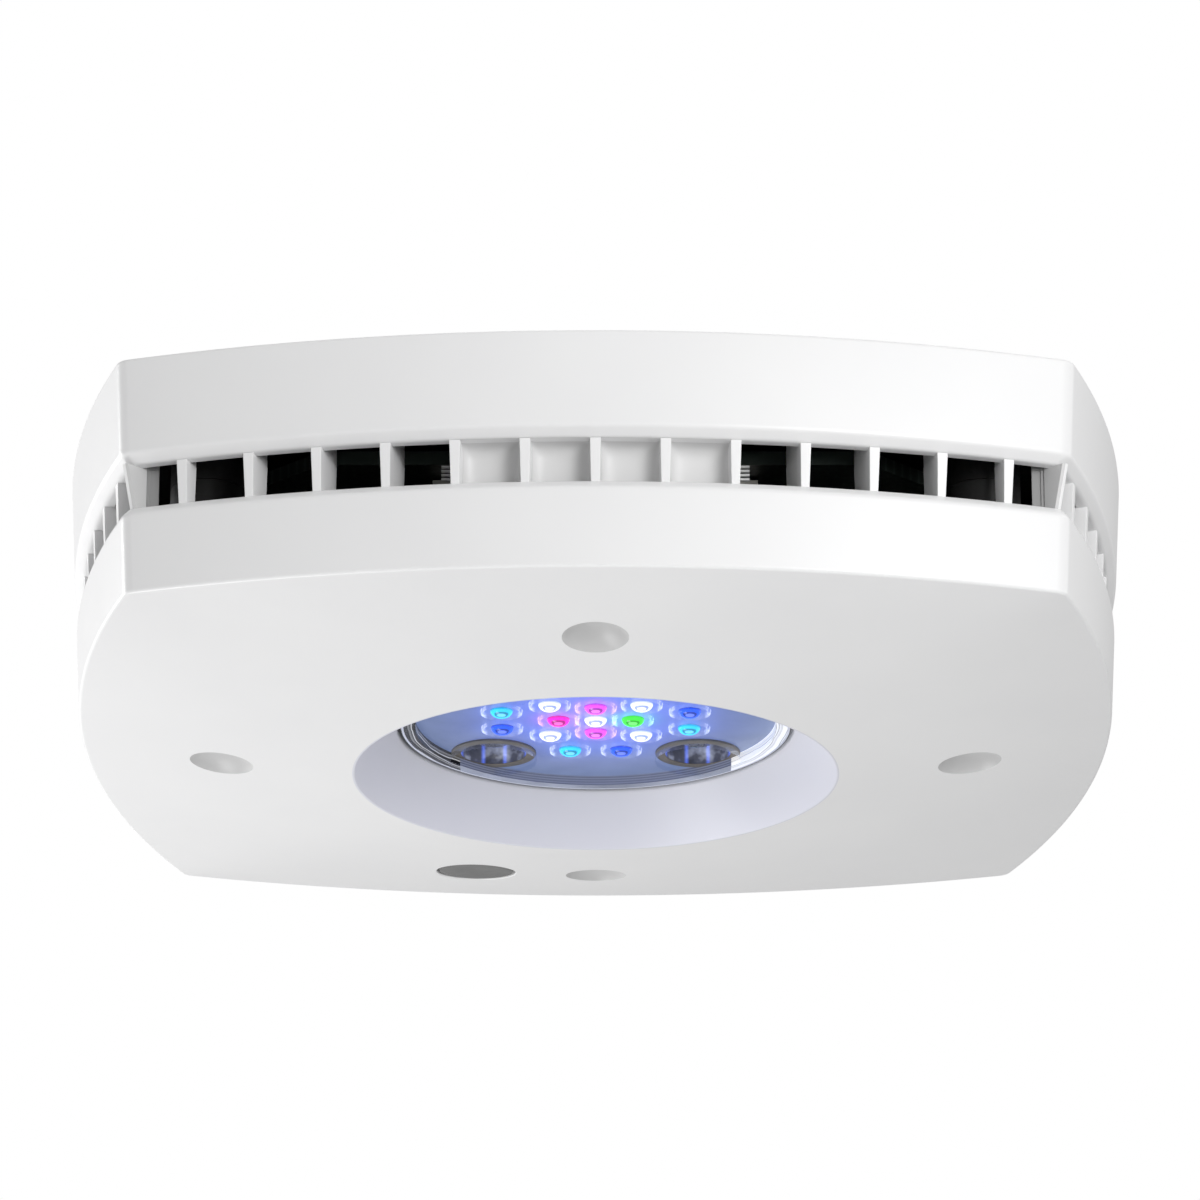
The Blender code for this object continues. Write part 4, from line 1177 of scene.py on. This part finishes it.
def make_lens(glass, shade_paint, leds):
    """Clear cover, plate glowing with painted light, back painted dark as shade, and side band of the lens
    with painted light.
    """
    cover = bmesh.new()
    corners = [(LENS_FACE_R, LENS_FRONT_Z), (LENS_EDGE_R, LENS_FRONT_Z), (LENS_EDGE_R, LAND_Z - 0.2 * MM)]
    outer = skin(cover, [circle(r, z, steps=LENS_STEPS) for r, z in eased(corners, 0.3 * MM)])
    wells = []
    for place in screw_places():
        loops = [circle(COLLAR_R + 0.05 * MM, z, place) for z in (LENS_FRONT_Z, LENS_FRONT_Z + LENS_LIP)]
        wells.append(skin(cover, loops)[0])
    sheet(cover, [outer[0]] + wells, lambda x, y: LENS_FRONT_Z, [(0.0, 0.0)])
    finish_piece("lens_cover", cover, [glass], node="lens_puck")
    plate = bmesh.new()
    lens_disc(plate, PLATE_Z)
    finish_piece("lens_plate", plate, [make_plate(leds)])
    back = bmesh.new()
    for z in (PLATE_BACK_Z, LENS_BACK_Z):
        lens_disc(back, z)
    lens_hoop(back, (LENS_FACE_R, PLATE_BACK_Z), (LENS_FACE_R, LENS_BACK_Z))
    finish_piece("lens_back", back, [shade_paint])
    band = bmesh.new()
    lens_hoop(band, (LENS_FACE_R, LENS_FRONT_Z + 0.02 * MM), (LENS_FACE_R, PLATE_Z))
    finish_piece("lens_side_band", band, [make_side_band()])
    make_flange()


def make_flange():
    """Flat edge of the lens: a land in shaded, streaked tones that glow as painted light, with painted
    reflections at its ends, a bright line of painted reflection and a dark outer line of painted shadow.
    """
    graph = Graph("lens_flange_land", 0.2)
    streaks = graph.noise(420.0, 2.0, graph.vector("MULTIPLY", graph.place, (0.3, 0.3, 1.0)))
    tone = painted_end_reflections(graph, graph.ramp(streaks, [(0.3, (0.16, 0.175, 0.22)), (0.7, (0.34, 0.36, 0.43))]))
    graph.colour(tone)
    graph.glow(tone, 0.35)
    painted_reflection = moulded("lens_flange_line", (0.78, 0.8, 0.88), (0.9, 0.91, 0.95), 0.2, 3000.0, 0.05, patch=200.0)
    dark = moulded("lens_flange_gap", grey(0.03), grey(0.07), 0.5, 3000.0, 0.05, patch=200.0)
    finishes = {"land": graph, "line": painted_reflection, "gap": dark}
    for name, (inner, outer) in FLANGE_RINGS.items():
        bm = bmesh.new()
        lens_hoop(bm, (inner * MM, LENS_FLANGE_Z), (outer * MM, LENS_FLANGE_Z))
        finish_piece(f"lens_flange_{name}", bm, [finishes[name].material])


def painted_end_reflections(graph, middle):
    """Add painted reflections to a lens edge tone: black with bright lines towards the left end, white
    towards the right.
    """
    parts = graph.split()
    radius = graph.vector("LENGTH", graph.vector("MULTIPLY", graph.place, (1.0, 1.0, 0.0)))
    outward = graph.math("MULTIPLY", radius, 1 / EDGE_LINE)
    steps = graph.math("ADD", outward, graph.math("MULTIPLY", parts["Z"], 1 / EDGE_LINE))
    broken = graph.math("MULTIPLY", graph.noise(150.0, 2.0), 0.9)
    lines = graph.math("FRACT", graph.math("ADD", steps, broken))
    dark = graph.greys(lines, [(0.0, 0.004), (0.5, 0.006), (0.6, 0.75), (0.68, 0.02), (0.9, 0.2)])
    light = graph.greys(lines, [(0.0, 0.95), (0.5, 1.0), (0.58, 0.3), (0.66, 0.9), (0.9, 0.7)])
    left = graph.math("LESS_THAN", parts["X"], -LENS_END_X)
    right = graph.math("GREATER_THAN", parts["X"], LENS_END_X)
    return mix_colours(graph, right, mix_colours(graph, left, middle, dark), light)


def make_side_band():
    """Moulded edge of the lens: fine blue-grey rings that glow as painted light, with painted reflections
    dark on the left and bright on the right.
    """
    graph = Graph("lens_side", 0.15)
    fine = graph.math("MULTIPLY", graph.split()["Z"], 1 / (1.2 * MM))
    lines = graph.math("FRACT", graph.math("MULTIPLY", fine, 4.0))
    tones = [(0.0, (0.06, 0.07, 0.11)), (0.5, (0.2, 0.22, 0.3)), (1.0, (0.11, 0.125, 0.18))]
    colour = painted_end_reflections(graph, graph.ramp(lines, tones))
    graph.colour(colour)
    graph.glow(colour, 0.55)
    return graph.material


def mix_colours(graph, factor, first, second):
    node = graph.nodes.new("ShaderNodeMix")
    node.data_type = "RGBA"
    graph.links.new(factor, node.inputs["Factor"])
    graph.put(first, node.inputs[6])
    graph.put(second, node.inputs[7])
    return node.outputs[2]


def make_optics(leds):
    """Lit dome over each LED, and a ring round it that shows painted highlight arcs."""
    glows = {tint: make_led_glow(f"glow_{tint}", colour) for tint, colour in LED_TINTS.items()}
    ridges = {tint: make_ridge_painted_highlight(RIDGE_HIGHLIGHT_TINTS.get(tint, PALE_BLUE)) for tint in LED_TINTS}
    for number, (tint, place) in enumerate(leds):
        shift = Vector((place.x, place.y, PLATE_Z))
        dome = bmesh.new()
        loops = []
        for k in range(9):
            angle = math.radians(90 * k / 9)
            share = math.cos(angle) ** 0.7
            drop = OPTIC_DROP * math.sin(angle) ** 1.2
            loops.append(circle(OPTIC_R * share, PLATE_Z - drop, place, 28))
        rows = skin(dome, loops)
        dome.faces.new(rows[-1])
        finish_piece(f"led_dome_{number:02d}", dome, [glows[tint]], shift=shift)
        ridge = bmesh.new()
        low = PLATE_Z - RIDGE_LIP
        profile = [(RIDGE_R - 0.3 * MM, PLATE_Z), (RIDGE_R - 0.08 * MM, low), (RIDGE_R + 0.08 * MM, low)]
        profile.append((RIDGE_R + 0.15 * MM, PLATE_Z))
        skin(ridge, [circle(r, z, place, 40) for r, z in profile])
        finish_piece(f"led_ridge_{number:02d}", ridge, [ridges[tint]], shift=shift)


def make_collars(metal, well_light_paint):
    """Ring in each screw well, and the wall behind it, painted dark with painted blue light."""
    for number, place in enumerate(screw_places(), 1):
        bm = bmesh.new()
        corners = [(WELL_WALL_R, COLLAR_TOP_Z), (WELL_WALL_R, COLLAR_FRONT_Z)]
        corners += [(COLLAR_R, COLLAR_FRONT_Z), (COLLAR_R, COLLAR_TOP_Z)]
        turned(bm, eased(corners, 0.1 * MM), place, 56, closed=True)
        finish_piece(f"collar_{number}", bm, [metal], node=f"screw_collar_{number}", shift=place)
        tube = bmesh.new()
        wall_r = WELL_WALL_R - 0.01 * MM
        profile = [(wall_r, COLLAR_FRONT_Z + 0.1 * MM), (wall_r, WELL_END_Z)]
        profile.append((WELL_HOLE_R, WELL_END_Z + 0.1 * MM))
        skin(tube, [circle(radius, z, place, 56) for radius, z in profile])
        finish_piece(f"screw_well_{number}", tube, [well_light_paint], shift=place)


def make_well_painted_light():
    """Wall of a screw well, glowing with painted light and shade: near black with paler painted highlights,
    and upright bars of painted blue light.
    """
    graph = Graph("screw_well_painted_light", 0.12)
    across = graph.math("FRACT", graph.math("MULTIPLY", graph.split()["X"], 1 / (2.6 * MM)))
    painted_blue_bars = graph.greys(across, [(0.0, 0.0), (0.36, 0.0), (0.5, 1.0), (0.64, 0.0)], True)
    tones = [(0.38, (0.02, 0.022, 0.03)), (0.56, (0.06, 0.065, 0.09)), (0.72, (0.32, 0.35, 0.45))]
    painted_tones = graph.ramp(graph.noise(320.0), tones)
    graph.colour(painted_tones)
    blue = graph.vector("MULTIPLY", painted_blue_bars, (0.05, 0.12, 0.75))
    graph.glow(graph.vector("ADD", blue, painted_tones), 0.8)
    return graph.material


# Carried-over nodes

def dress(nodes, material):
    """Give CAD nodes a finish."""
    for name in nodes:
        node = frame["nodes"][name]
        node.data.materials.clear()
        node.data.materials.append(material)


def numbered(stem, count):
    return [f"{stem}_{number}" for number in range(1, count + 1)]


def dress_inner_parts():
    """Finishes of the pieces that keep their CAD shape."""
    dress(["heat_sink"], make_anodised())
    dress(["driver_board"], make_board("driver_mask", (0.012, 0.016, 0.014), (0.03, 0.04, 0.035)))
    dress(["led_board"], make_board("aluminium_board", (0.5, 0.52, 0.56), (0.3, 0.31, 0.34)))
    black = moulded("black_nylon", grey(0.012), grey(0.022), 0.42, 2200.0, 0.25).material
    dress(["fan_frame", "fan_rotor", "capacitor_1", "capacitor_2", "tact_switch", "dc_jack"], black)
    rubber = moulded("gasket_rubber", grey(0.015), grey(0.03), 0.7, 1800.0, 0.3).material
    dress(["lens_gasket"], rubber)
    pad = moulded("thermal_pad_silicone", (0.3, 0.32, 0.36), (0.38, 0.4, 0.44), 0.75, 900.0, 0.4).material
    dress(["thermal_pad"], pad)
    steel = make_brushed("bright_steel", grey(0.42), grey(0.62))
    dress(numbered("lens_screw", 4) + numbered("fan_screw", 4), steel)
    make_case_screws(steel)
    dress(["fan_shaft", "wifi_module"], steel)
    brass = make_brushed("turned_brass", (0.55, 0.36, 0.13), (0.78, 0.56, 0.26))
    dress(["arm_insert_left", "arm_insert_right", "fan_bearing", "dc_jack_pin"], brass)
    dress(["fan_stator", "power_inductor_1", "power_inductor_2"], make_winding())
    nylon = moulded("connector_nylon", (0.62, 0.6, 0.55), (0.7, 0.68, 0.63), 0.5, 1500.0, 0.2).material
    dress(["pin_header_left", "pin_header_right"], nylon)
    for tint, colour in LED_TINTS.items():
        nodes = [node for node, slot in SLOTS.items() if slot == tint]
        package = moulded(f"package_{tint}", [0.7 * c for c in colour], colour, 0.3, 2000.0, 0.1)
        package.glow((*colour, 1.0), 0.5)
        dress(nodes, package.material)


def hexagon(reach, z, centre, steps):
    """Regular hexagon with the given corner reach, drawn with as many points as a circle."""
    points = []
    for i in range(steps):
        angle = 2 * math.pi * i / steps
        folded = angle % (math.pi / 3) - math.pi / 6
        radius = reach * math.cos(math.pi / 6) / math.cos(folded)
        points.append(Vector((centre.x + radius * math.cos(angle), centre.y + radius * math.sin(angle), z)))
    return points


def make_case_screws(steel):
    """Cap screws with a softened rim and a hexagon socket."""
    steps = 48
    for node in numbered("case_screw", 4):
        low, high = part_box(node)
        centre = centre_of(node)
        head_r = (high.x - low.x) / 2
        seat, edge = high.z - SCREW_HEAD, high.z - 0.1 * MM
        socket = ((SOCKET_REACH, high.z - SOCKET_DEPTH), (SOCKET_REACH, edge))
        socket += ((SOCKET_REACH + 0.1 * MM, high.z),)
        head = ((head_r - 0.3 * MM, high.z), (head_r - 0.08 * MM, edge), (head_r, high.z - 0.3 * MM))
        stem = ((head_r, seat), (SHANK_R, seat), (SHANK_R, low.z))
        rows = [hexagon(reach, z, centre, steps) for reach, z in socket]
        rows += [circle(radius, z, centre, steps) for radius, z in head + stem]
        bm = bmesh.new()
        solid(bm, rows)
        finish_piece(f"{node}_cap", bm, [steel], node=node, sharp=30, shift=centre)


def make_button(rubber):
    """Round cap with a softened edge that follows the dome, over its flange and stem."""
    bm = bmesh.new()
    centre = (BUTTON.x, BUTTON.y)
    steps = 56
    rows = []
    for radius, drop in ((0.3, 0.0), (0.6, 0.0), (0.85, 0.0), (0.96, 0.0), (0.985, 0.03), (1.0, 0.12)):
        rows.append(on_dome(circle(BUTTON_R * radius, 0.0, centre, steps), (0.1 + drop) * MM))
    stem = ((BUTTON_R, CAP_FLANGE_LOW), (CAP_FLANGE_R, CAP_FLANGE_LOW), (CAP_FLANGE_R, CAP_FLANGE_HIGH))
    stem += ((CAP_STEM_R, CAP_FLANGE_HIGH), (CAP_STEM_R, BUTTON_BOX[1].z))
    rows += [circle(radius, z, centre, steps) for radius, z in stem]
    solid(bm, rows)
    finish_piece("button_face", bm, [rubber], "button", node="button_cap")


def make_pins():
    """Four thin pins beside each end of the front blind vents."""
    steel = moulded("tinned_pin", grey(0.7), grey(0.78), 0.4, 4000.0, 0.1, patch=900.0).material
    for name, side in (("left", -1), ("right", 1)):
        bm = bmesh.new()
        near, far = sorted(side * x for x in PIN_X)
        for k in range(4):
            z = PIN_Z + PIN_PITCH * k
            pin = bmesh.new()
            box_mesh(pin, (near, PIN_Y[0], z - PIN_HALF), (far, PIN_Y[1], z + PIN_HALF))
            bevel_all(pin, 0.04 * MM)
            add_to(bm, pin)
        finish_piece(f"header_pins_{name}", bm, [steel])


# Stage, lights and camera

def make_stage():
    """Pale floor under the light, and a white surround."""
    graph = Graph("pale_floor", 0.8)
    mottle = graph.noise(3.0)
    graph.colour(graph.greys(mottle, [(0.3, 0.80), (0.7, 0.84)]))
    bm = bmesh.new()
    corners = ((-1, -1), (1, -1), (1, 1), (-1, 1))
    bm.faces.new(ring(bm, [(x * FLOOR_HALF, y * FLOOR_HALF, FLOOR_LEVEL) for x, y in corners]))
    floor = linked("floor", bm)
    floor.data.materials.append(graph.material)


def make_world():
    """White surround behind the light, and a softer level for what it lights."""
    world = bpy.data.worlds.new("studio")
    bpy.context.scene.world = world
    world.use_nodes = True
    nodes, links = world.node_tree.nodes, world.node_tree.links
    seen = nodes.new("ShaderNodeLightPath")
    level = nodes.new("ShaderNodeMapRange")
    level.inputs["To Min"].default_value = WORLD_LEVEL
    level.inputs["To Max"].default_value = 1.0
    links.new(seen.outputs["Is Camera Ray"], level.inputs["Value"])
    links.new(level.outputs["Result"], nodes["Background"].inputs["Strength"])
    nodes["Background"].inputs["Color"].default_value = (1.0, 1.0, 1.0, 1.0)


def make_lights():
    """Soft round area lights, each aimed at its own spot on the housing."""
    for name, place, aim, size, power in SOFT_LIGHTS:
        data = bpy.data.lights.new(name, "AREA")
        data.shape = "DISK"
        data.size = size
        data.energy = power
        light = bpy.data.objects.new(name, data)
        light.location = place
        light.rotation_euler = (Vector(aim) - Vector(place)).to_track_quat("-Z", "Y").to_euler()
        light.visible_camera = False
        bpy.context.scene.collection.objects.link(light)


def make_camera():
    """Camera below and in front, looking up at the underside."""
    data = bpy.data.cameras.new("camera")
    data.lens = CAMERA_LENS
    data.sensor_width = 36.0
    camera = bpy.data.objects.new("camera", data)
    camera.location = CAMERA_PLACE
    camera.rotation_euler = (CAMERA_TILT, 0.0, 0.0)
    bpy.context.scene.collection.objects.link(camera)
    bpy.context.scene.camera = camera
    bpy.context.scene.view_settings.view_transform = "Standard"


def main():
    white, shade_paint, well = make_white_plastic(), make_inner_painted_shade(), make_well_painted_shade()
    glass = make_glass()
    leds = led_list()
    shaded = make_shaded_plastic()
    # Scooped pockets of the blind vents: white plastic painted a little darker as shade.
    pocket = moulded("pocket_painted_shade", grey(0.68), grey(0.72), 0.45, 3000.0, 0.05).material
    # Fins beside the corner ribs: white plastic painted dark grey as shade.
    fin = moulded("fin_painted_shade", grey(0.27), grey(0.32), 0.45, 3000.0, 0.05).material
    make_bottom_cover([white, shade_paint, well, shaded, pocket, fin])
    make_top_cover(white, shade_paint)
    make_upper_ribs(white, shaded, fin)
    make_lens(glass, shade_paint, leds)
    make_optics(leds)
    make_collars(make_collar_metal(), make_well_painted_light())
    make_button(make_button_rubber())
    make_pins()
    dress_inner_parts()
    make_stage()
    make_world()
    make_lights()
    make_camera()


main()
